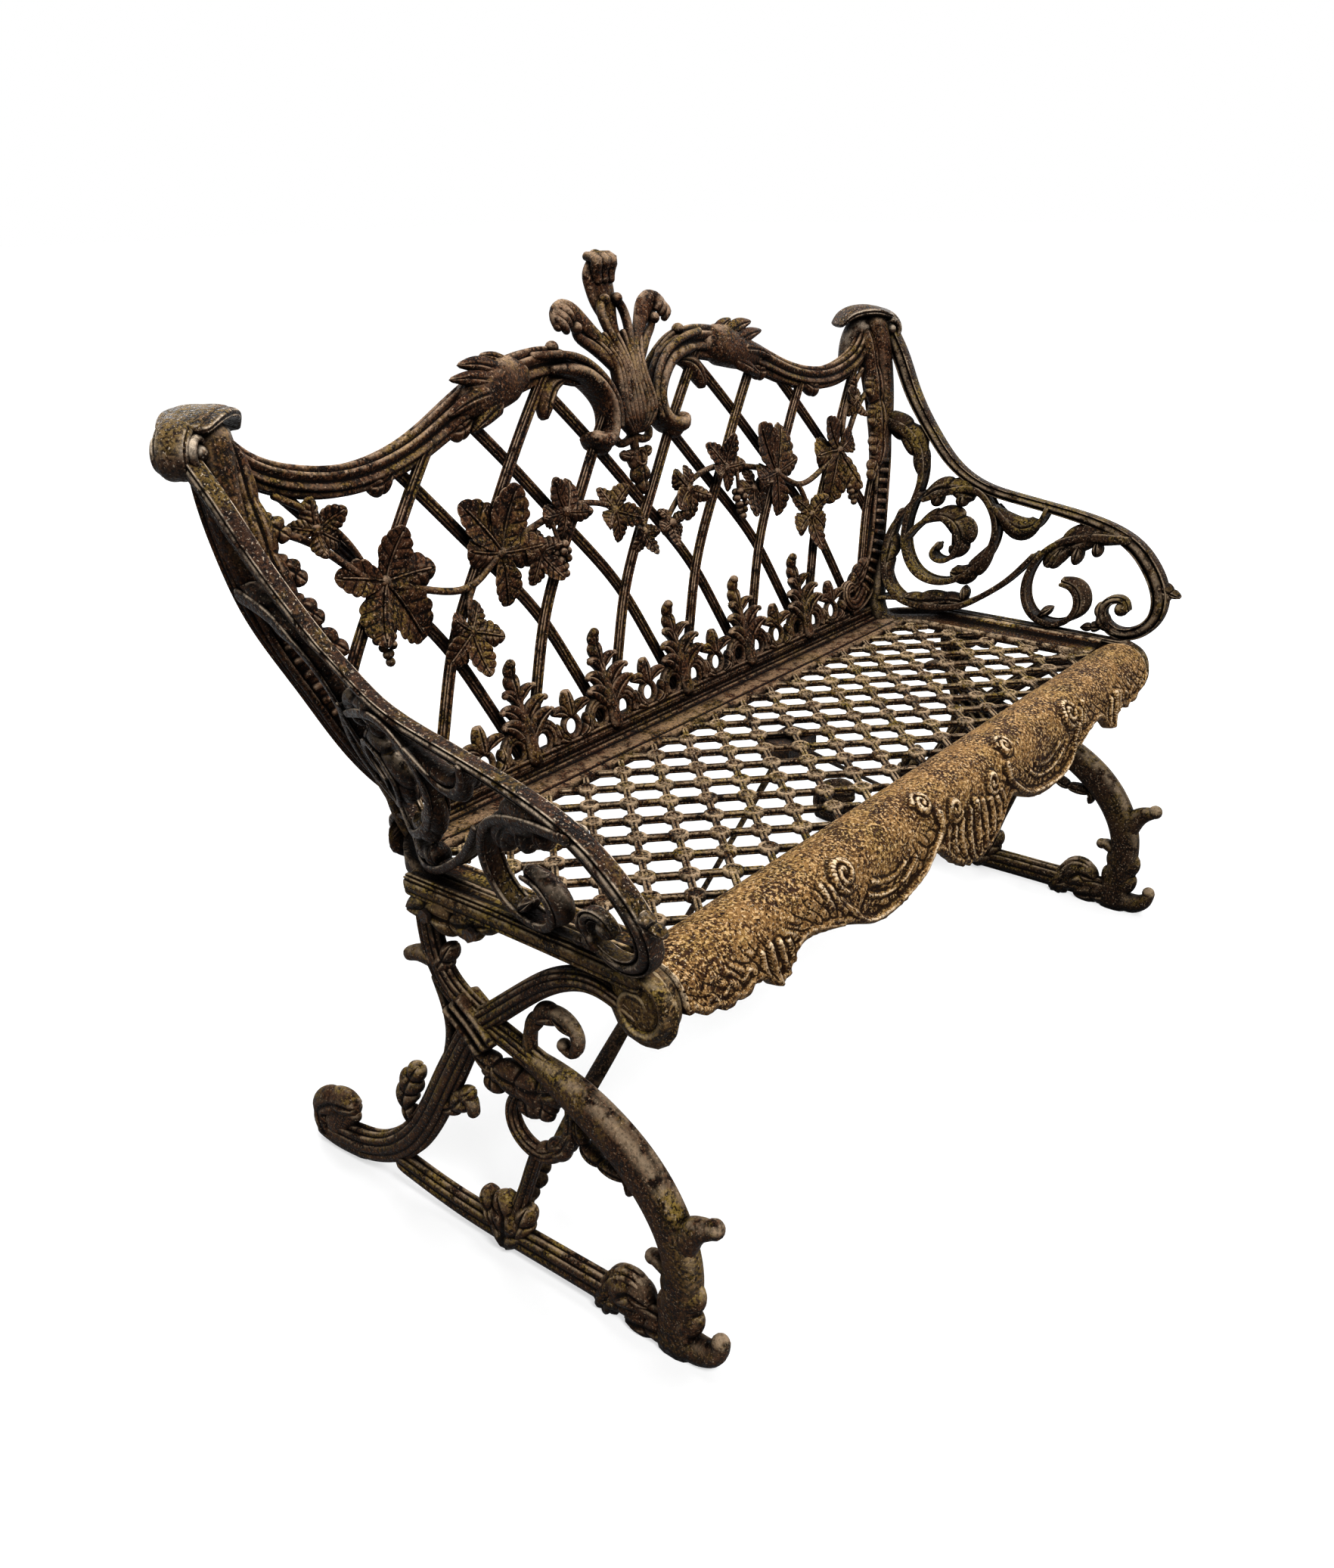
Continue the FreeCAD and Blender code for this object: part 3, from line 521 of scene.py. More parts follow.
front_leg = Shape(end_plane)
bar(front_leg, [
    (-60, 384, 30), (-58, 345, 30), (-42, 304, 31), (0, 277, 30), (50, 262, 28), (100, 244, 34),
    (150, 223, 42), (178, 206, 40)], 24, 10)
bar(front_leg, [
    (70, 256, 20), (100, 246, 32), (150, 224, 41), (190, 197, 43), (222, 160, 42), (240, 118, 40),
    (243, 82, 39), (238, 45, 39), (236, 8, 44)], 30, boxy=2.8)
bar(front_leg, [(236, 16, 32), (260, 13, 30), (280, 22, 22), (287, 36, 15)], 26)
ball(front_leg, (285, 37, 0), 9)
leaf(front_leg, [
    (104, 244, 22), (140, 228, 40), (178, 204, 38), (210, 172, 30), (228, 140, 10)], 29, 5, 0.5)
bar(front_leg, [(238, 108, 30), (246, 136, 31), (260, 155, 25), (279, 164, 15)], 26)
ball(front_leg, (279, 166, 0), 10)
leaf(front_leg, [(236, 20, 52), (240, 50, 54), (243, 85, 44), (240, 118, 20)], 29, 3, 0.25)
bar(front_leg, [(228, 90, 16), (214, 97, 16), (207, 96, 12)], 18)
ball(front_leg, (208, 96, 0), 8)
bar(front_leg, [(-58, 320, 20), (-80, 318, 17), (-92, 313, 15)], 20)
leaf(front_leg, [(-52, 308, 14), (-38, 328, 22), (-27, 346, 8)], 22, 2)
bar(front_leg, [
    (116, 236, 16), (116, 205, 17), (102, 168, 17), (70, 147, 17), (42, 160, 16), (36, 188, 14),
    (44, 206, 10)], 17, 8)
leaf(front_leg, [(118, 200, 8), (108, 176, 24), (84, 157, 22), (66, 148, 8)], 20, 3)
leaf(front_leg, [
    (-12, 232, 14), (15, 226, 36), (45, 222, 46), (75, 224, 44), (104, 236, 20)], 24, 4, 0.3)
for tip in (((16, 234), 265, 40, 34), ((58, 232), 275, 46, 42), ((88, 232), 255, 42, 32)):
    leaf(front_leg, blade(*tip, form=SPEAR), 20, 2, 0.3)
leaf(front_leg, [
    (122, 214, 12), (131, 184, 17), (156, 174, 18), (184, 168, 14), (182, 154, 8)], 18, 4, 0.35)
bar(front_leg, [
    (66, 254, 14), (68, 285, 13), (78, 306, 13), (98, 319, 14), (120, 314, 13), (128, 298, 12),
    (120, 284, 11), (108, 287, 9)], 15)
leaf(front_leg, [(66, 280, 10), (78, 304, 22), (102, 317, 24), (124, 306, 12)], 19, 3)
ball(front_leg, (110, 288, 0), 7)
both("front_leg", front_leg, "end_iron")

leg_arch = Shape(end_plane)
bar(leg_arch, [
    (200, 358, 20), (160, 371, 22), (125, 365, 23), (95, 349, 24), (62, 323, 25), (32, 297, 26),
    (-4, 266, 27)], 26, 10)
both("leg_arch", leg_arch, "end_iron")

back_leg = Shape(end_plane)
bar(back_leg, [
    (8, 278, 27), (-16, 247, 30), (-36, 213, 33), (-57, 175, 35), (-80, 133, 35), (-104, 96, 36),
    (-135, 62, 38), (-175, 36, 38), (-215, 24, 42), (-258, 20, 36)], 26, 10)
leaf(back_leg, [
    (-250, 12, 22), (-272, 20, 32), (-279, 38, 34), (-264, 56, 38), (-240, 67, 34),
    (-216, 68, 18)], 28, 3, 0.12)
bar(back_leg, [(-254, 30, 42), (-238, 46, 34), (-222, 56, 18)], 24, boxy=2)
bar(back_leg, [(-210, 16, 26), (-260, 14, 28), (-282, 12, 20)], 24)
leaf(back_leg, [(-112, 92, 14), (-124, 116, 28), (-116, 146, 32), (-98, 176, 14)], 22, 4)
leaf(back_leg, [(-68, 138, 14), (-48, 150, 26), (-30, 170, 20), (-20, 180, 8)], 20, 3)
bar(back_leg, [(-42, 168, 12), (-26, 168, 14), (-22, 152, 12)], 15)
bar(back_leg, [(-56, 300, 10), (-44, 268, 11), (-42, 244, 11), (-50, 208, 12)], 15)
for shift in (-9.8, 0, 9.8):
    bar(back_leg, [(x + shift, up + shift, 9) for x, up in ((-26, 284), (-4, 268), (14, 250))], 31)
both("back_leg", back_leg, "end_iron")

stretcher = Shape(end_plane)
bar(stretcher, [(-140, 32, 32), (-60, 22, 33), (40, 21, 35), (140, 22, 36), (234, 22, 40)], 22, 8)
leaf(stretcher, [(16, 2, 36), (18, 22, 54), (20, 42, 46), (10, 68, 16)], 32, 3, 0.2)
for tip in (((30, 22), 68, 52, 28), ((4, 22), 112, 46, 24)):
    leaf(stretcher, blade(*tip, form=SPEAR), 28, 2, 0.2)
bar(stretcher, [(30, 48, 22), (46, 92, 15), (57, 122, 15), (66, 146, 14)], 18, 6)
bar(stretcher, [(150, 8, 34), (162, 34, 32), (178, 52, 26), (192, 50, 20), (196, 36, 12)], 26, 8)
leaf(stretcher, [(138, 12, 22), (160, 24, 46), (184, 42, 40), (206, 36, 14)], 30, 3, 0.2)
leaf(stretcher, [(174, 6, 22), (200, 12, 42), (228, 20, 28)], 28, 2, 0.2)
ball(stretcher, (188, 42, 0), 9)
both("bottom_stretcher", stretcher, "end_iron")

seat_rail = Shape(end_plane)
bar(seat_rail, [(-74, 398, 24), (60, 398, 24), (204, 396, 26)], 26, 10, boxy=4)
spiral = []
for k in range(14):
    angle, radius = math.radians(90 - 40 * k), 34 - 2.3 * k
    spiral.append((206 + radius * math.cos(angle), 368 + radius * math.sin(angle), 15 - 0.6 * k))
bar(seat_rail, spiral, 28)
bar(seat_rail, [(205, 368, 82), (207, 368, 82)], 20, boxy=2)
leaf(seat_rail, [(-86, 368, 16), (-60, 378, 40), (-20, 376, 42), (18, 384, 26), (42, 392, 8)], 30, 4)
seat_rail.plane = arm_plane
bar(seat_rail, [
    (-158, 545, 8), (-168, 495, 14), (-172, 450, 18), (-171, 416, 20), (-158, 394, 20), (-120, 391, 18),
    (-74, 396, 14)], 30, boxy=2.6)
both("seat_rail", seat_rail, "end_iron", "mossy_iron")


# Arms

arm_rail = Shape(arm_plane)
beaded(arm_rail, [
    (-226, 790, 19), (-206, 762, 20), (-176, 712, 19), (-150, 677, 17), (-122, 645, 16), (-95, 619, 15),
    (-65, 599, 14), (-30, 585, 14), (10, 577, 14), (60, 569, 14), (105, 561, 15), (150, 549, 17),
    (190, 529, 20), (219, 500, 22), (235, 470, 22), (235, 441, 20), (219, 421, 18), (195, 414, 16),
    (172, 424, 14), (163, 443, 13), (174, 457, 12), (190, 456, 11), (196, 445, 10)], 24)
ball(arm_rail, (188, 446, 0), 10)
ball(arm_rail, (243, 470, 0), 8)
leaf(arm_rail, [(232, 480, 24), (246, 476, 16), (262, 471, 4)], 20, 2, 0.2)
leaf(arm_rail, [(200, 414, 12), (176, 420, 20), (162, 436, 20), (160, 452, 8)], 22, 3)
leaf(arm_rail, blade((170, 420), 190, 34, 16), 14, 2)
both("arm_rail", arm_rail, "arm_iron")

BAND_SHARE, BAND_DEPTH = 0.45, 26  # of the drawn width, and from face to face
RIM_SHARE, RIM_THICK, RIM_LEVEL = 0.62, 6, 11
scrolls = Shape(arm_plane)


def strap(rows):
    """Scroll of the arm: a thin band set on edge, with a rim along both of its borders."""
    rows = np.array(rows, float)
    bar(scrolls, rows * [1, 1, BAND_SHARE], BAND_DEPTH, boxy=2.6)
    for level in (-RIM_LEVEL, RIM_LEVEL):
        bar(scrolls, np.c_[rows[:, :2], rows[:, 2] * RIM_SHARE, np.full(len(rows), level)], RIM_THICK)


def frond(rows, lobes):
    """Smooth leaf of few points wrapped round a scroll."""
    leaf(scrolls, rows, 25, lobes, notch=0.3, swept=0.7, flute=0.3, rib=0.3)


strap([
    (-212, 668, 26), (-165, 652, 24), (-141, 622, 18), (-135, 585, 13), (-144, 540, 13), (-139, 495, 14),
    (-115, 463, 14), (-78, 452, 14), (-43, 464, 15), (-18, 490, 15), (-8, 525, 14), (-20, 560, 14),
    (-48, 583, 15), (-85, 579, 16), (-124, 564, 11)])
strap([
    (-141, 508, 10), (-126, 528, 11), (-100, 541, 13), (-73, 533, 15), (-60, 508, 14), (-67, 488, 12),
    (-84, 482, 11), (-97, 491, 10), (-92, 503, 8)])
strap([
    (54, 504, 12), (20, 463, 13), (-10, 439, 14), (-42, 421, 15), (-85, 416, 15), (-130, 424, 14),
    (-157, 447, 14), (-169, 485, 14), (-165, 520, 12), (-147, 550, 12), (-130, 572, 11)])
strap([
    (180, 538, 18), (110, 533, 17), (75, 517, 14), (55, 490, 13), (50, 455, 13), (64, 427, 13),
    (92, 415, 14), (120, 424, 14), (128, 447, 14), (117, 466, 12), (101, 470, 9)])
strap([(-16, 562, 12), (5, 545, 14), (28, 534, 14), (50, 544, 12), (60, 568, 10)])
frond([(-214, 678, 26), (-178, 658, 40), (-150, 634, 32), (-138, 600, 16)], 3)
frond([(-130, 562, 12), (-104, 582, 28), (-74, 582, 34), (-50, 574, 12)], 2)
for tip in (((-100, 582), 250, 28, 20), ((-66, 582), 262, 24, 20)):
    frond(blade(*tip, form=SPEAR), 1)
frond([(-128, 528, 8), (-100, 543, 28), (-72, 536, 44), (-58, 512, 34), (-70, 490, 12)], 4)
ball(scrolls, (-92, 500, 0), 7)
frond([(-8, 516, 10), (-20, 490, 28), (-44, 466, 28), (-66, 466, 8)], 2)
frond([(-24, 426, 8), (-56, 428, 24), (-100, 424, 24), (-132, 426, 8)], 3)
frond(blade((-36, 424), 100, 26, 14), 1)
frond([(-150, 436, 8), (-164, 464, 24), (-162, 496, 22), (-166, 516, 8)], 2)
frond([(196, 536, 8), (160, 540, 30), (120, 534, 40), (90, 514, 32), (70, 490, 10)], 3)
for tip in (((92, 520), 250, 34, 20), ((116, 528), 262, 32, 18), ((138, 534), 275, 24, 16)):
    frond(blade(*tip, form=SPEAR), 1)
frond([(116, 420, 8), (132, 442, 26), (124, 464, 24), (98, 474, 10)], 1)
frond(blade((74, 420), 40, 26, 14), 1)
frond([(-26, 566, 8), (0, 548, 28), (28, 538, 32), (52, 548, 8)], 1)
strap([
    (-128, 426, 11), (-160, 424, 11), (-184, 412, 13), (-188, 394, 13), (-174, 386, 11), (-166, 396, 8)])
both("arm_scrolls", scrolls, "arm_iron")


# Corner caps: a fluted leaf that curls over where the arm, the stile and the top rail meet

CAP_FOOT = np.array([-557.0, 252.0, 0.0])
CAP_OUT = np.array([-0.81, -0.59, 0.0])
CAP_BESIDE = np.array([0.59, -0.81, 0.0])


def cap_plane(points):
    """At the left corner: outwards and forwards along the leaf, up, and across it."""
    spots = points[:, :1] * CAP_OUT + points[:, 2:3] * CAP_BESIDE + CAP_FOOT
    spots[:, 2] = points[:, 1]
    return spots


cap = Shape(cap_plane)
bar(cap, [
    (-6, 821, 17, -15), (18, 821, 17, -15), (38, 818, 16, -15), (54, 810, 15, -15), (62, 797, 14, -15),
    (57, 783, 13, -15), (45, 778, 11, -15), (36, 786, 9, -15), (41, 796, 7, -15)], 36, 6, 0.1)
bar(cap, [
    (-34, 806, 10, -7), (-22, 817, 15, -7), (0, 823, 17, -7), (22, 822, 16, -8),
    (42, 816, 12, -9)], 62, 8, 0.08)
bar(cap, [(0, 800, 38, -4), (-8, 784, 38, -4), (-14, 750, 34, -4)], 40, boxy=2.6)
for level in (-30, 3):
    ring(cap, (47, 796, level), 13, 8, 8)
    ball(cap, (46, 796, level), 8)
both("corner_cap", cap, "arm_iron", "cap_iron", "cap_iron")


# Back panel

def halves(shape, draw, rows, *sizes, **more):
    """The same ornament on both halves of the back."""
    rows = np.array(rows, float)
    draw(shape, rows, *sizes, **more)
    draw(shape, np.c_[-rows[:, :1], rows[:, 1:]], *sizes, **more)


RAIL_LINE = [
    (566, 412, 24), (540, 378, 30), (485, 353, 33), (435, 346, 33), (385, 350, 33), (335, 363, 34),
    (285, 383, 37), (240, 400, 42), (195, 413, 45), (150, 421, 44), (110, 419, 40), (78, 408, 32)]
top_rail = Shape(back_plane)
halves(top_rail, bar, RAIL_LINE, 28, reeds=8, cut=0.42)
VOLUTE = [
    (126, 414, 12, 4), (104, 412, 16, 5), (80, 405, 17, 6), (58, 388, 17, 7), (45, 364, 16, 7),
    (48, 343, 16, 7), (60, 330, 18, 8), (74, 328, 20, 9), (84, 335, 13, 9)]
halves(top_rail, bar, VOLUTE, 42, boxy=3)
REED = [(110, 428, 9), (74, 416, 9), (48, 393, 9), (35, 364, 8), (38, 340, 7)]
for level in (-5, 7, 19):
    halves(top_rail, bar, [(150, 432, 9, level * 0.5)] + [row + (level,) for row in REED], 9)
halves(top_rail, leaf, [
    (104, 402, 10, 3), (124, 398, 22, 3), (140, 382, 22, 3), (147, 364, 8, 3)], 22, 1, 0.0)
halves(top_rail, bar, [
    (172, 415, 34, 1), (188, 414, 50, 2), (215, 407, 51, 2), (245, 398, 44, 2),
    (268, 390, 24, 2)], 38, boxy=2.2)
TIPS = [
    [(186, 426, 16, 6), (206, 437, 12, 6), (224, 441, 4, 6)],
    [(204, 422, 20, 9), (234, 432, 17, 10), (262, 434, 4, 10)],
    [(216, 412, 20, 12), (250, 419, 16, 13), (279, 421, 4, 12)],
    [(228, 402, 22, 15), (262, 397, 16, 14), (292, 386, 4, 12)],
    [(212, 390, 20, 11), (240, 378, 16, 11), (262, 366, 4, 9)]]
for tip in TIPS:
    halves(top_rail, leaf, tip, 13, 1, 0.0)
for x, up in ((270, 372), (390, 336)):
    halves(top_rail, leaf, [
        (x - 16, up + 8, 10, 1), (x, up, 26, 1), (x + 16, up - 2, 10, 1)], 18, 2, 0.2)
for side in (-1, 1):
    for x, up, out, radius in ((68, 326, 9, 14), (80, 334, 16, 8), (114, 438, 6, 8)):
        ball(top_rail, (side * x, up, out), radius)
for k in range(-4, 5):
    bar(top_rail, [
        (k * 3, 331, 7, 8), (k * 7, 350, 11, 13), (k * 6.5, 380, 10, 14), (k * 6, 410, 9, 12),
        (k * 10, 440, 7, 3)], 18)
piece("back_top_rail", top_rail, "back_iron")

crest = Shape(back_plane)
bar(crest, [
    (0, 392, 12, 13), (0, 430, 15, 5), (0, 458, 24, -2), (0, 478, 39, -6), (0, 500, 46, -8),
    (0, 517, 42, -8), (0, 527, 28, -6)], 20, boxy=2)
halves(crest, bar, [
    (4, 396, 8, 12), (20, 424, 14, 9), (42, 448, 18, 5), (60, 466, 26, 1), (78, 475, 28, 0),
    (92, 470, 21, 2), (97, 459, 12, 6)], 17, boxy=2)
STRANDS = [
    [(5, 404, 9, 15), (13, 430, 9, 12), (19, 454, 9, 8), (18, 474, 9, 4), (11, 484, 8, 3)],
    [(14, 396, 12, 12), (36, 421, 14, 9), (54, 437, 13, 5), (67, 448, 10, 4), (70, 457, 8, 6)]]
for strand in STRANDS:
    halves(crest, bar, strand, 12)
for k in (-1, 0, 1):
    bar(crest, [
        (k * 11, 504, 10, 2), (k * 13, 518, 13, 5), (k * 12, 530, 13, 2), (k * 10, 533, 10, -9)], 13)
    curl = np.array([(82, 459, 8, 9), (88, 467, 11, 10), (91, 475, 10, 3)])
    halves(crest, bar, curl + [k * 6, -k * 6, 0, 0], 11)
for x, up, out in ((11, 482, 6), (70, 455, 8)):
    for side in (-1, 1):
        ball(crest, (side * x, up, out), 7)
for k in (-2, -1, 1, 2):
    bar(crest, [(k * 4, 384, 8, 17), (k * 6, 412, 9, 14), (k * 11, 444, 7, 5)], 12)
piece("back_crest", crest, "back_iron")

pendant = Shape(back_plane)
bar(pendant, [(0, 336, 20), (0, 318, 12), (0, 300, 12)], 14)
halves(pendant, bar, [(0, 326, 12), (16, 320, 10), (28, 322, 10), (32, 330, 8)], 12)
halves(pendant, leaf, [(0, 308, 10), (14, 304, 16), (28, 308, 6)], 12, 2)
leaf(pendant, [(0, 312, 22), (0, 292, 34), (0, 272, 24), (0, 256, 6)], 20, 3, 0.3)
ring(pendant, (0, 300, 0), 9, 6, 20)
piece("back_pendant", pendant, "back_iron")

# Leaf frieze: sprigs with curled leaves over two eyes, and a bud over one eye between them
PITCH = 139.0
EYE = 12.5
frieze = Shape(back_plane)
for i in range(-2, 3):
    u = i * PITCH
    bar(frieze, [(u, 10, 20, 10), (u, 44, 16, 8), (u, 78, 12, 2), (u, 104, 10, -2), (u, 116, 8, 0)], 14)
    rows = [(u, 64, 12, 3), (u, 88, 22, 1), (u, 108, 18, 0), (u, 122, 6, 4)]
    leaf(frieze, rows, 15, 3, notch=0.35, swept=0.6, flute=0.3)
    ball(frieze, (u, 119, 5), 6)
    for side in (-1, 1):
        for up, reach, wide in ((28, 49, 21), (48, 43, 19), (74, 27, 13)):
            start = (u + side * 3, up)
            curl = blade(start, 90 - side * 8, reach, wide, side * -72, 8, 9 - up * 0.1, SPEAR)
            leaf(frieze, curl, 13, 1, notch=0.0, swept=0.3, flute=0.0, rib=0.4, cup=0.3)
            x, y, _, lift = curl[-1]
            ball(frieze, (x, y - 2, lift), 4)
        x, y = u + side * 21, 24
        ring(frieze, (x, y, 6), EYE, 8, 8)
        halfway = 90 - side * 20
        for radius in (17, 22):
            bar(frieze, arc((x, y), radius, halfway + 95, halfway - 95, 7, 8), 8)
for i in range(-3, 3):
    u = (i + 0.5) * PITCH
    ring(frieze, (u, 27, 6), EYE, 8, 8)
    leaf(frieze, [(u, 36, 14, 8), (u, 52, 20, 7), (u, 70, 8, 8)], 15, 1, 0.0)
    for side in (-1, 1):
        curl = blade((u + side * 4, 38), 90 - side * 24, 32, 14, side * -80, 5, 7, SPEAR)
        leaf(frieze, curl, 12, 1, 0.0, cup=0.3)
        rows = [(u + side * x, up, wide, 8) for x, up, wide in ((8, 12, 8), (22, 20, 16), (26, 36, 8))]
        leaf(frieze, rows, 14, 2)
bar(frieze, [(-385, 8, 18, 2), (0, 8, 18, 2), (385, 8, 18, 2)], 20, 8, step=12)
piece("back_leaf_frieze", frieze, "back_iron")

# Lattice: the bars' drift along the bench at each height, and the lines that end them
LATTICE_PITCH = 140.0
SWAY = [(10, -66), (50, -50), (95, -30), (155, 0), (245, 70), (330, 141), (420, 224)]
STILE_LINE = np.array([
    (568, 398, 44), (566, 366, 52), (563, 300, 48), (557, 255, 42), (544, 212, 36), (526, 170, 34),
    (500, 112, 34), (468, 62, 36), (428, 32, 38), (396, 26, 28)], float)
rail_line = smooth(RAIL_LINE[:-1])[::-1]
stile_line = smooth(STILE_LINE)[::-1]


def inside(u, v):
    """True within the middle lines of the rails and stiles around the lattice."""
    under = v < np.interp(np.abs(u), rail_line[:, 0], rail_line[:, 1] - 4)
    return under & (np.abs(u) < np.interp(v, stile_line[:, 1], stile_line[:, 0])) & (v > 12)


for name, side, level in (("front", 1, 3.5), ("rear", -1, -3.5)):
    lattice = Shape(back_plane)
    for i in range(-4, 4):
        line = smooth([
            ((i + 0.5) * LATTICE_PITCH + side * sway, up, 13, level) for up, sway in SWAY], 3.0)
        kept = line[inside(line[:, 0], line[:, 1])]
        if len(kept) > 20:
            bar(lattice, kept[::3], 11, reeds=8, cut=0.3, boxy=3.0)
    piece("back_lattice_" + name, lattice, "back_iron", ending="bars")

bottom_rail = Shape(front_plane)
rows = [(x, 396, 42, -BACK_FOOT[1]) for x in (-465, 0, 465)]
bar(bottom_rail, rows, 22, reeds=10, cut=0.14, boxy=4, step=20)
piece("back_bottom_rail", bottom_rail, "back_iron")


# Vine: compound leaves of five leaflets, berries and a winding stem

def vine_leaf(shape, spot, leaflets, level):
    """Compound leaf: toothed leaflets given as (angle, length) round the end of a stalk."""
    for k, (angle, length) in enumerate(leaflets):
        curl = (13, -8, 6)[k % 3]
        rows = blade(spot, angle, length, length * 0.72, 10 * (-1) ** k, curl, level + k % 2 * 2.0)
        cup = 0.3 * (-1) ** (k // 2)
        leaf(shape, rows, 9, 5, notch=0.14, swept=0.5, flute=0.6, rib=0.5, cup=cup, back=0.6)
        vein = rows[:8] * [1, 1, 0, 1] + [0, 0, 2.6, 3.2]
        bar(shape, vein, 3.4, step=6)
    ball(shape, (spot[0], spot[1], level + 2), 7, 0.8)


def berries(shape, spot, level):
    """Hanging bunch of small round berries."""
    for row, (count, reach) in enumerate(((3, 7), (4, 9), (3, 7), (2, 4), (1, 0))):
        for k in range(count):
            angle = 2 * math.pi * (k / count + row * 0.21)
            out = level + reach * 0.6 * math.sin(angle)
            ball(shape, (spot[0] + reach * math.cos(angle), spot[1] + 16 - row * 8, out), 5)


STEM = [
    (548, 322, 8, 8), (488, 292, 8, 10), (440, 250, 8, 11), (380, 226, 8, 11), (310, 214, 8, 10),
    (265, 236, 8, 10), (200, 256, 8, 10), (140, 266, 8, 10), (90, 260, 7, 10), (40, 234, 7, 10),
    (14, 214, 6, 10)]
VINE_LEVEL = 10
FIVE = [(0, 1.0), (66, 0.9), (-66, 0.9), (136, 0.74), (-136, 0.74)]
LEAVES = [
    ((422, 243), [(118, 58), (22, 54), (174, 64), (-60, 66), (236, 78)]),
    ((262, 238), [(112, 76), (64, 70), (8, 50), (188, 58), (-95, 58)])]
for spot, size, turn in (
        ((328, 168), 50, 262), ((206, 226), 40, 235), ((152, 262), 44, 60), ((72, 248), 42, 200),
        ((28, 214), 30, 250), ((486, 306), 36, 150)):
    LEAVES.append((spot, [(turn + angle, size * share) for angle, share in FIVE]))
vine = Shape(back_plane)
bar(vine, STEM, 8)
bar(vine, [(310, 214, 7, 10), (322, 190, 7, 10), (318, 168, 6, 10)], 7)
bar(vine, [(520, 345, 7, 9), (480, 318, 7, 11), (446, 276, 6, 11), (436, 248, 6, 11)], 7)
for spot, leaflets in LEAVES:
    vine_leaf(vine, spot, leaflets, VINE_LEVEL)
for x, up in ((440, 182), (172, 212)):
    bar(vine, [(x + 4, up + 40, 5, VINE_LEVEL + 2), (x, up + 14, 5, VINE_LEVEL + 2)], 5)
    berries(vine, (x, up), VINE_LEVEL + 3)
piece("back_vine_right", vine, "back_iron", ending="leaves")
piece("back_vine_left", vine.mirror(), "back_iron", ending="leaves")

stile = Shape(back_plane)
bar(stile, STILE_LINE, 24, reeds=10, cut=0.14, boxy=3)
bar(stile, [
    (571, 404, 35, 13), (573, 386, 36, 13), (575, 350, 34, 12), (571, 300, 30, 10), (562, 256, 24, 8),
    (546, 214, 16, 6)], 28, boxy=2.6)
leaf(stile, [
    (550, 400, 24, 6), (550, 350, 34, 8), (545, 290, 38, 9), (536, 240, 34, 9),
    (518, 204, 14, 10)], 26, 4, 0.25)
for tip in (((548, 330), 208, 38), ((544, 292), 212, 42), ((538, 254), 212, 44), ((530, 222), 206, 54)):
    leaf(stile, blade(*tip, 28, 24, 6, 10, SPEAR), 15, 3)
beads = smooth(STILE_LINE[3:] + [-2, 0, 0], 15.0)
along, side = frames(np.c_[beads[:, :2], 0 * beads[:, 0]])[:2]
for k in range(1, len(beads) - 3):
    a = beads[k, :2] + side[k, :2] * 9 - along[k, :2] * 2
    b = beads[k, :2] - side[k, :2] * 9 + along[k, :2] * 2
    bar(stile, [(a[0], a[1], 8, 11), (b[0], b[1], 8, 11)], 8)
for offset in (-16, 16):
    rim = beads[:, :2] + side[:, :2] * offset
    bar(stile, np.c_[rim, 0 * rim + [6, 10]], 8)
bar(stile, [
    (430, 34, 26, 6), (402, 22, 24, 8), (386, 30, 20, 9), (388, 48, 16, 9), (404, 50, 12, 9),
    (408, 40, 8, 9)], 20, 8)
leaf(stile, blade((400, 50), 20, 60, 26, 20, 4, 8, SPEAR), 16, 3)
piece("right_back_stile", stile, "back_iron")
piece("left_back_stile", stile.mirror(), "back_iron")


# Seat

GRILLE_HALF, GRILLE_FRONT, GRILLE_REAR = 475.0, -176.0, 104.0
GRILLE_LEVEL = 396.0
CELL = 30.0  # half the pitch of the diagonals along the bench
CROSSINGS = -36.0  # where one line of their crossings lies
grille = Shape(flat_plane)
for way in (1, -1):
    for k in range(-24, 25):
        rows = []
        for y in np.linspace(GRILLE_FRONT, GRILLE_REAR, 9):
            x = CELL + k * 2 * CELL + way * (y - CROSSINGS)
            if abs(x) <= GRILLE_HALF:
                rows.append((x, y, 8.5, GRILLE_LEVEL))
        if len(rows) > 1:
            bar(grille, rows, 8.5, reeds=4, cut=0.3, step=24)
for column in range(-16, 17):
    for row in range(-5, 6):
        x, y = column * CELL, row * CELL + CROSSINGS
        if (column + row) % 2 and abs(x) < GRILLE_HALF - 6 and GRILLE_FRONT + 4 < y < GRILLE_REAR - 4:
            ring(grille, (x, y, GRILLE_LEVEL + 0.5), 8.5, 6, 9, sides=8, turns=14)
            ball(grille, (x, y, GRILLE_LEVEL), 6, 0.6)
piece("seat_grille", grille, "seat_iron", ending="lattice")

border = Shape(flat_plane)
BORDER = [
    (0, 390), (0, 398), (3, 400.5), (7, 401), (9, 399), (12, 399), (14, 400.5), (34, 401), (37, 399.5),
    (39, 400), (42, 403), (46, 402), (46, 389)]
moulding(border, BORDER, [(x, GRILLE_REAR, 90) for x in np.linspace(-476, 476, 60)])
border.plane = front_plane
bar(border, [(-470, 381, 14, -146), (470, 381, 14, -146)], 8, step=20)
piece("seat_back_border", border, "seat_iron", "border_iron")

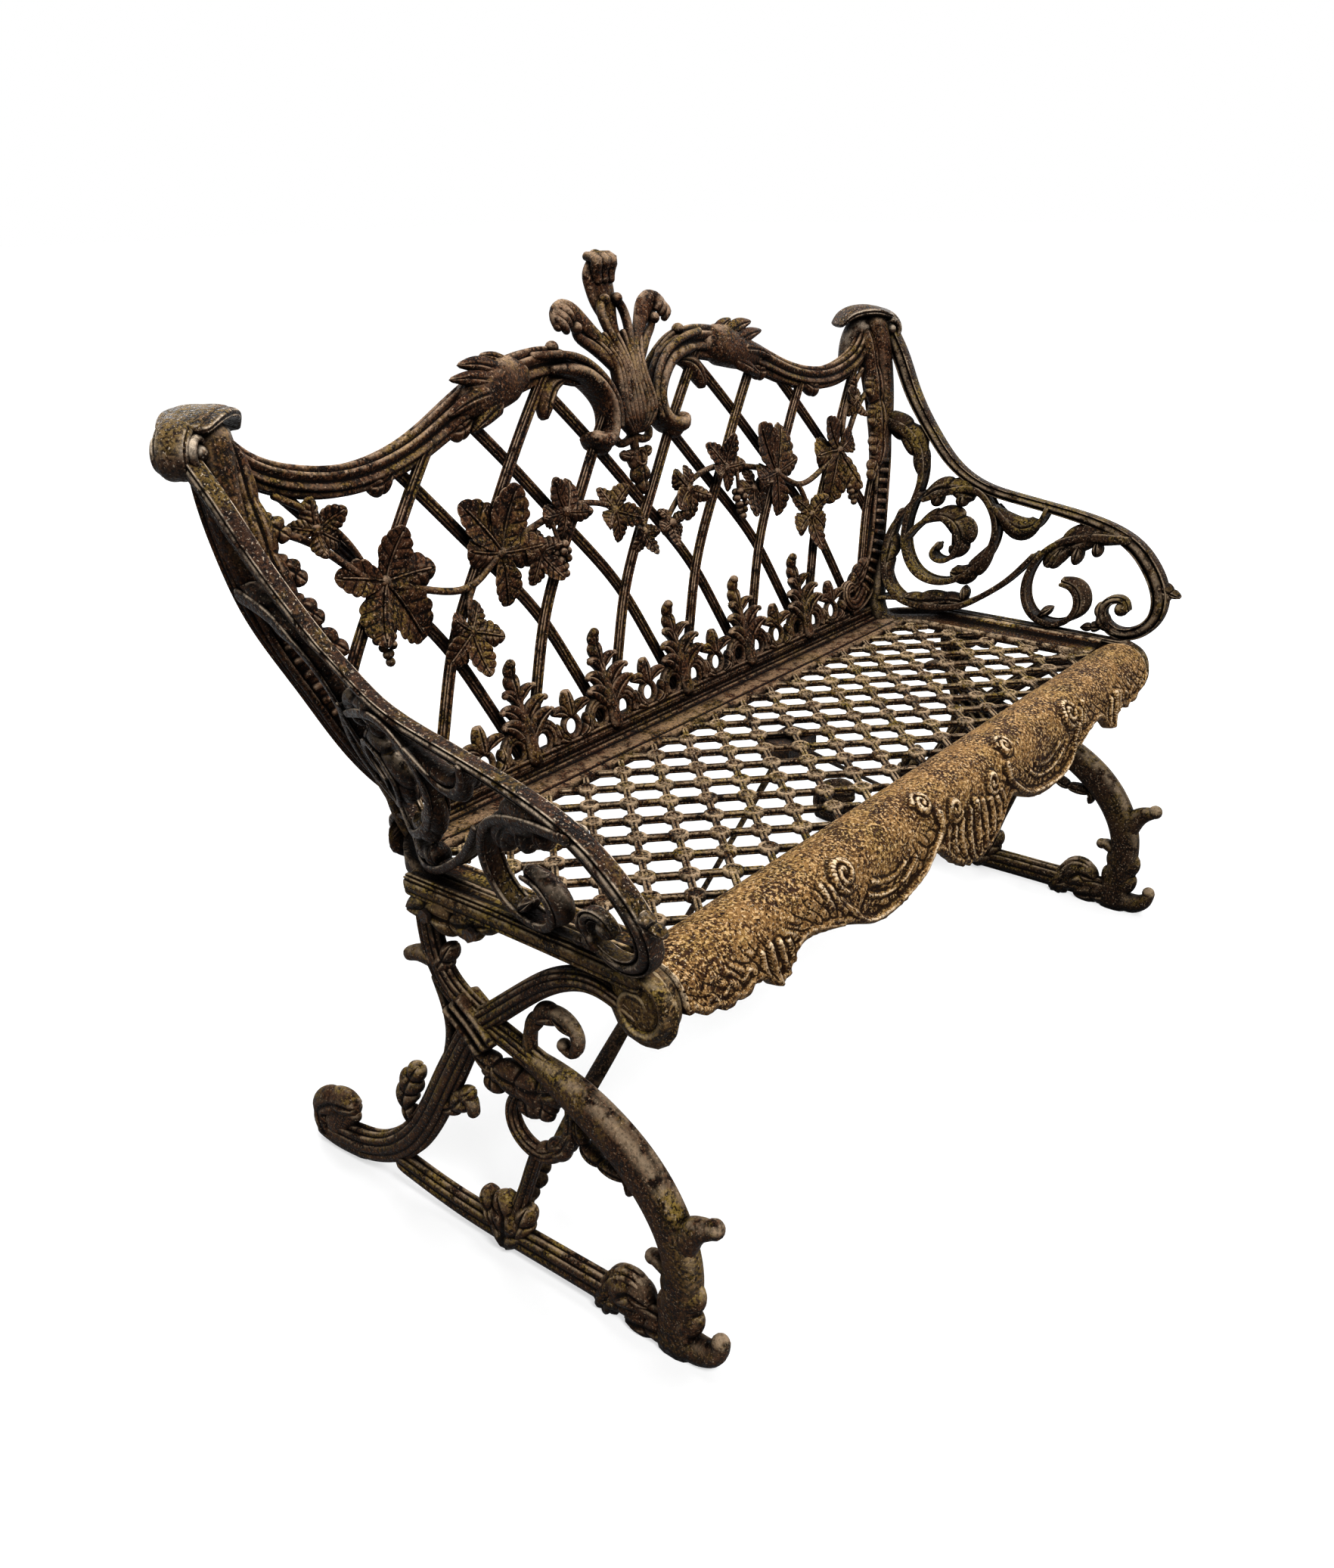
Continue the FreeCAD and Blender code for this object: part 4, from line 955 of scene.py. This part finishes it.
side_border = Shape(flat_plane)
SIDE = [
    (0, 390), (0, 399), (4, 401), (7, 399.5), (10, 400), (26, 401), (32, 403), (36, 408), (41, 409),
    (41, 389)]
CORNER = 35.0
SIDE_END = 110.0
run = [(-GRILLE_HALF, y, 180) for y in np.linspace(GRILLE_FRONT - 1, SIDE_END - CORNER, 30)]
for angle in np.linspace(8, 80, 10):
    turn = math.radians(angle)
    x = -GRILLE_HALF + CORNER * (1 - math.cos(turn))
    run.append((x, SIDE_END - CORNER * (1 - math.sin(turn)), 180 - angle))
moulding(side_border, SIDE, run)
piece("seat_left_border", side_border, "seat_iron")
piece("seat_right_border", side_border.mirror(), "seat_iron")


# Rolled front: a sheet over (along the bench, down the face) with raised ornament, closed by its inner face

ROLL_HALF = 516.0
ROLL_BACK, ROLL_TOP = 176.0, 400.0
SHEET = 8.0  # thickness of the casting
OVER = 40  # samples from the back of the roll to where it only goes down
# The roll's section as (forward, down) and half of its lower edge as (along, up)
ROLL = [
    (0, 2), (14, -5), (30, -8), (52, -2), (65, 13), (70, 33), (73, 54), (77, 78), (79, 102), (80, 132)]
EDGE = [
    (0, 304), (25, 306), (48, 316), (66, 330), (82, 343), (96, 346), (112, 338), (140, 327), (175, 321),
    (212, 322), (250, 334), (285, 347), (315, 354), (342, 358), (360, 352), (372, 341), (386, 335),
    (398, 339), (408, 350), (440, 351), (475, 355), (520, 372)]
profile = smooth([(ROLL_BACK + forward, ROLL_TOP - down) for forward, down in ROLL], 1.0)
lengths = np.r_[0, np.cumsum(np.linalg.norm(np.diff(profile, axis=0), axis=1))]
edge = smooth([(-x, z) for x, z in EDGE[:0:-1]] + EDGE, 1.0)
xs = np.linspace(-ROLL_HALF, ROLL_HALF, 431)
low = np.interp(xs, edge[:, 0], edge[:, 1])
# Fine teeth in the middle and small scallops at both ends
low += 3.0 * np.sin(xs / 2.6) * np.clip(1 - np.abs(xs) / 75, 0, 1)
low -= 4.0 * np.abs(np.sin(xs / 9.0)) * np.clip((np.abs(xs) - 405) / 20, 0, 1)
stop = np.interp(-low, -profile[OVER:, 1], lengths[OVER:])
rows = np.linspace(0, 1, 74)
S = rows[:, None] * stop
X = np.broadcast_to(xs, S.shape)
RIDGES = []


def scroll(x, s, radius, turns, start, tall, thick):
    """Spiral ridge on the apron, in (along, down the face) millimetres."""
    a = np.linspace(0, turns * 2 * math.pi, 40)
    r = radius * (1 - 0.8 * a / a[-1])
    RIDGES.append((np.c_[x + r * np.cos(a + start), s + r * np.sin(a + start)], tall, thick))


def stroke(points, tall, thick):
    """Curved ridge through points on the apron."""
    RIDGES.append((smooth(points, 3.0)[:, :2], tall, thick))


# Ridges on the right half: their height, their half width and lines of (along, down the face)
RIDGE_LINES = [
    (8, 4.5, [
        (262, 110), (250, 123), (228, 133), (190, 135), (150, 131), (118, 121), (98, 107), (83, 92),
        (81, 76)]),
    (5, 3.5, [(230, 107), (205, 116), (180, 118), (155, 114), (137, 103)]),
    (3.5, 3.5, [(222, 96), (200, 104), (178, 106), (158, 101)]),
    (5, 4.5, [(304, 68), (301, 80), (296, 92)]),
    (5, 4.5, [(292, 75), (285, 90), (275, 104)]),
    (5, 4.5, [(280, 90), (269, 103), (255, 114)]),
    (5, 4, [(357, 104), (346, 98), (330, 99), (305, 107), (280, 116)]),
    (6, 4, [(412, 86), (411, 98), (407, 110)]),
    (7, 4.5, [(400, 84), (396, 106), (390, 126)]),
    (6, 4, [(384, 88), (380, 106), (376, 122)]),
    (5, 3.5, [(370, 92), (366, 104), (364, 114)]),
    (5, 4, [(62, 100), (67, 110), (69, 120)]),
    (6, 4, [(50, 104), (54, 116), (53, 130)]),
    (6, 4.5, [(34, 100), (38, 120), (34, 140)]),
    (6, 4.5, [(15, 96), (19, 122), (15, 150)])]
for sign in (-1, 1):
    scroll(sign * 265, 70, 18, 1.7, 1.2, 6, 4.5)
    scroll(sign * 98, 58, 13, 1.5, 3.6, 6, 4.0)
    scroll(sign * 45, 84, 14, 1.4, 0.6, 5, 4.0)
    for tall, thick, line in RIDGE_LINES:
        stroke([(sign * x, down) for x, down in line], tall, thick)
    for x in (432, 460, 488):
        stroke([(sign * (x - 8), 98), (sign * x, 92), (sign * (x + 8), 97)], 4, 4)
stroke([(0, 92), (0, 125), (0, 152)], 7, 5)
height = np.zeros_like(S)
for line, tall, thick in RIDGES:
    near = np.abs(X - line[:, 0].mean()) < np.ptp(line[:, 0]) / 2 + 4 * thick
    gap = np.full(S.shape, 1e3)
    spots = np.stack([X[near], S[near]], -1)
    gap[near] = np.sqrt(((spots[:, None] - line[None]) ** 2).sum(-1)).min(1)
    height = np.maximum(height, tall * np.exp(-(gap / thick) ** 2))

# Crinkled shell work towards the lower edge, and a bead along it
CRINKLE, BEAD = 2.4, 4.0
rim = (1 - rows[:, None]) * stop
crinkle = np.sin(X / 5.0 + 2.2 * np.sin(S / 9.0) + 1.5 * np.sin(X / 23.0))
crinkle = np.abs(crinkle * np.sin(S / 6.0 + 1.8 * np.sin(X / 13.0))) ** 0.7
crinkle *= np.clip((50 - rim) / 20, 0, 1) * np.clip((S - 45) / 15, 0, 1)
height = np.maximum(height, CRINKLE * crinkle)
height = np.maximum(height, BEAD * np.exp(-((rim - 6) / 5) ** 2))

# The sheet in space, moved outwards by its ornament
F = np.interp(S, lengths, profile[:, 0])
Z = np.interp(S, lengths, profile[:, 1])
tangent = np.stack([np.gradient(profile[:, 0], lengths), np.gradient(profile[:, 1], lengths)], -1)
NF = -np.interp(S, lengths, tangent[:, 1])
NZ = np.interp(S, lengths, tangent[:, 0])
height *= np.clip((ROLL_HALF - np.abs(X)) / 6, 0, 1)
front = np.stack([X, -(F + NF * height), Z + NZ * height], -1)
inner = np.stack([X, -(F - NF * SHEET), Z - NZ * SHEET], -1)
inner[0, :, 1] = np.minimum(inner[0, :, 1], -ROLL_BACK - 0.5)
rings = np.concatenate([front, inner[::-1]], axis=0).transpose(1, 0, 2)
roll = Shape(flat_plane)
sweep(roll, rings)
piece("seat_front_roll", roll, "apron_iron", ending="apron")


# Stays and fasteners

ROD_KNOT = np.array([-522.0, -30.0, 58.0])
ROD_MEET = np.array([-6.0, 0.0, 380.0])
ROD_LENGTH = float(np.linalg.norm(ROD_MEET - ROD_KNOT))


def rod_plane(points):
    """Along the left rod, up, sideways."""
    way = (ROD_MEET - ROD_KNOT) / ROD_LENGTH
    side = np.cross(way, [0, 1, 0])
    side /= np.linalg.norm(side)
    return ROD_KNOT + points[:, :1] * way + points[:, 1:2] * np.cross(side, way) + points[:, 2:3] * side


rod = Shape(rod_plane)
ROD = [(0, 24), (14, 22), (26, 13), (60, 11), (ROD_LENGTH * 0.5, 11), (ROD_LENGTH, 11)]
bar(rod, [(along, 0, wide) for along, wide in ROD], 11, boxy=2, step=8)
leaf(rod, [(2, 0, 20), (24, 0, 26), (52, 0, 8)], 22, 3)
both("stay_rod", rod, "rod_iron", right_look=None)

for name in ("stay_bracket", "seat_bolts", "seat_nuts", "back_bolts", "back_nuts"):
    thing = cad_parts[name]
    thing.data.materials.clear()
    thing.data.materials.append(IRON["bolt_steel"])
    bevel = thing.modifiers.new("soft_edges", "BEVEL")
    bevel.width = 1.0 * MM
    bevel.segments = 2
    bevel.limit_method = "ANGLE"


# Floor, light and camera

FLOOR = 30.0  # metres from the middle to an edge
GLOW_NEAR, GLOW_FAR = 0.6, 1.0  # under the bench, where its shadow shows, and away from it
floor_mesh = bpy.data.meshes.new("floor")
corners = [(-FLOOR, -FLOOR, 0), (FLOOR, -FLOOR, 0), (FLOOR, FLOOR, 0), (-FLOOR, FLOOR, 0)]
floor_mesh.from_pydata(corners, [], [(0, 1, 2, 3)])
floor_paint = bpy.data.materials.new("floor_paint")
floor_paint.use_nodes = True
n = Nodes(floor_paint)
matt = n.new("BsdfDiffuse", {"Color": (0.4, 0.4, 0.4, 1.0)})
place = n.new("TexCoord").outputs["Object"]
away = n.ramp(n.new("VectorMath", {0: place}, operation="LENGTH").outputs["Value"], 0.9, 3.0)
level = n.math("ADD", n.times(away, GLOW_FAR - GLOW_NEAR), GLOW_NEAR)
glow = n.new("Emission", {"Strength": n.times(n.seen(), level)})
total = n.new("AddShader", {0: matt.outputs[0], 1: glow.outputs[0]})
n.new("OutputMaterial", {0: total.outputs[0]})
floor_mesh.materials.append(floor_paint)
floor = put("floor", floor_mesh)


def lamp(name, spot, aim, size, power):
    """Square soft lamp, in metres and watts."""
    data = bpy.data.lights.new(name, "AREA")
    data.size = size
    data.energy = power
    thing = put(name, data)
    thing.location = spot
    thing.rotation_euler = (Vector(aim) - Vector(spot)).to_track_quat("-Z", "Y").to_euler()


lamp("key", (-1.4, -2.4, 3.1), (0, 0, 0.45), 1.0, 155)
lamp("top", (0.3, 0.2, 3.4), (0, 0, 0.4), 1.6, 90)
lamp("fill", (3.4, 0.3, 2.0), (0.4, 0, 0.4), 2.5, 110)
lamp("rear", (0.9, 2.9, 2.4), (0, 0, 0.5), 2.0, 85)

WORLD_LIGHT = 0.07  # what the white surroundings add to the lamps
world = bpy.data.worlds.new("studio")
world.use_nodes = True
n = Nodes(world)
strength = n.new("MapRange", {"Value": n.seen(), "To Min": WORLD_LIGHT}).outputs["Result"]
sky = n.new("Background", {"Color": (1, 1, 1, 1), "Strength": strength})
n.new("OutputWorld", {0: sky.outputs[0]})
bpy.context.scene.world = world
bpy.context.scene.view_settings.view_transform = "Standard"

# Camera where the photograph was taken from
FOCAL = 1786.99  # in pixels
FRAME_HEIGHT = 2073
SENSOR = 36.0
EYE_SPOT = Vector((-1.2639, -0.8312, 1.0015))
right = Vector((0.6213, -0.7833, -0.0200))
down = Vector((-0.3298, -0.2383, -0.9135))
ahead = Vector((0.7108, 0.5742, -0.4064))
camera_data = bpy.data.cameras.new("camera")
camera_data.sensor_fit = "VERTICAL"
camera_data.sensor_height = SENSOR
camera_data.lens = FOCAL * SENSOR / FRAME_HEIGHT
camera = put("camera", camera_data)
turn = Matrix((right, -down, -ahead)).transposed().to_4x4()
camera.matrix_world = Matrix.Translation(EYE_SPOT) @ turn
bpy.context.scene.camera = camera
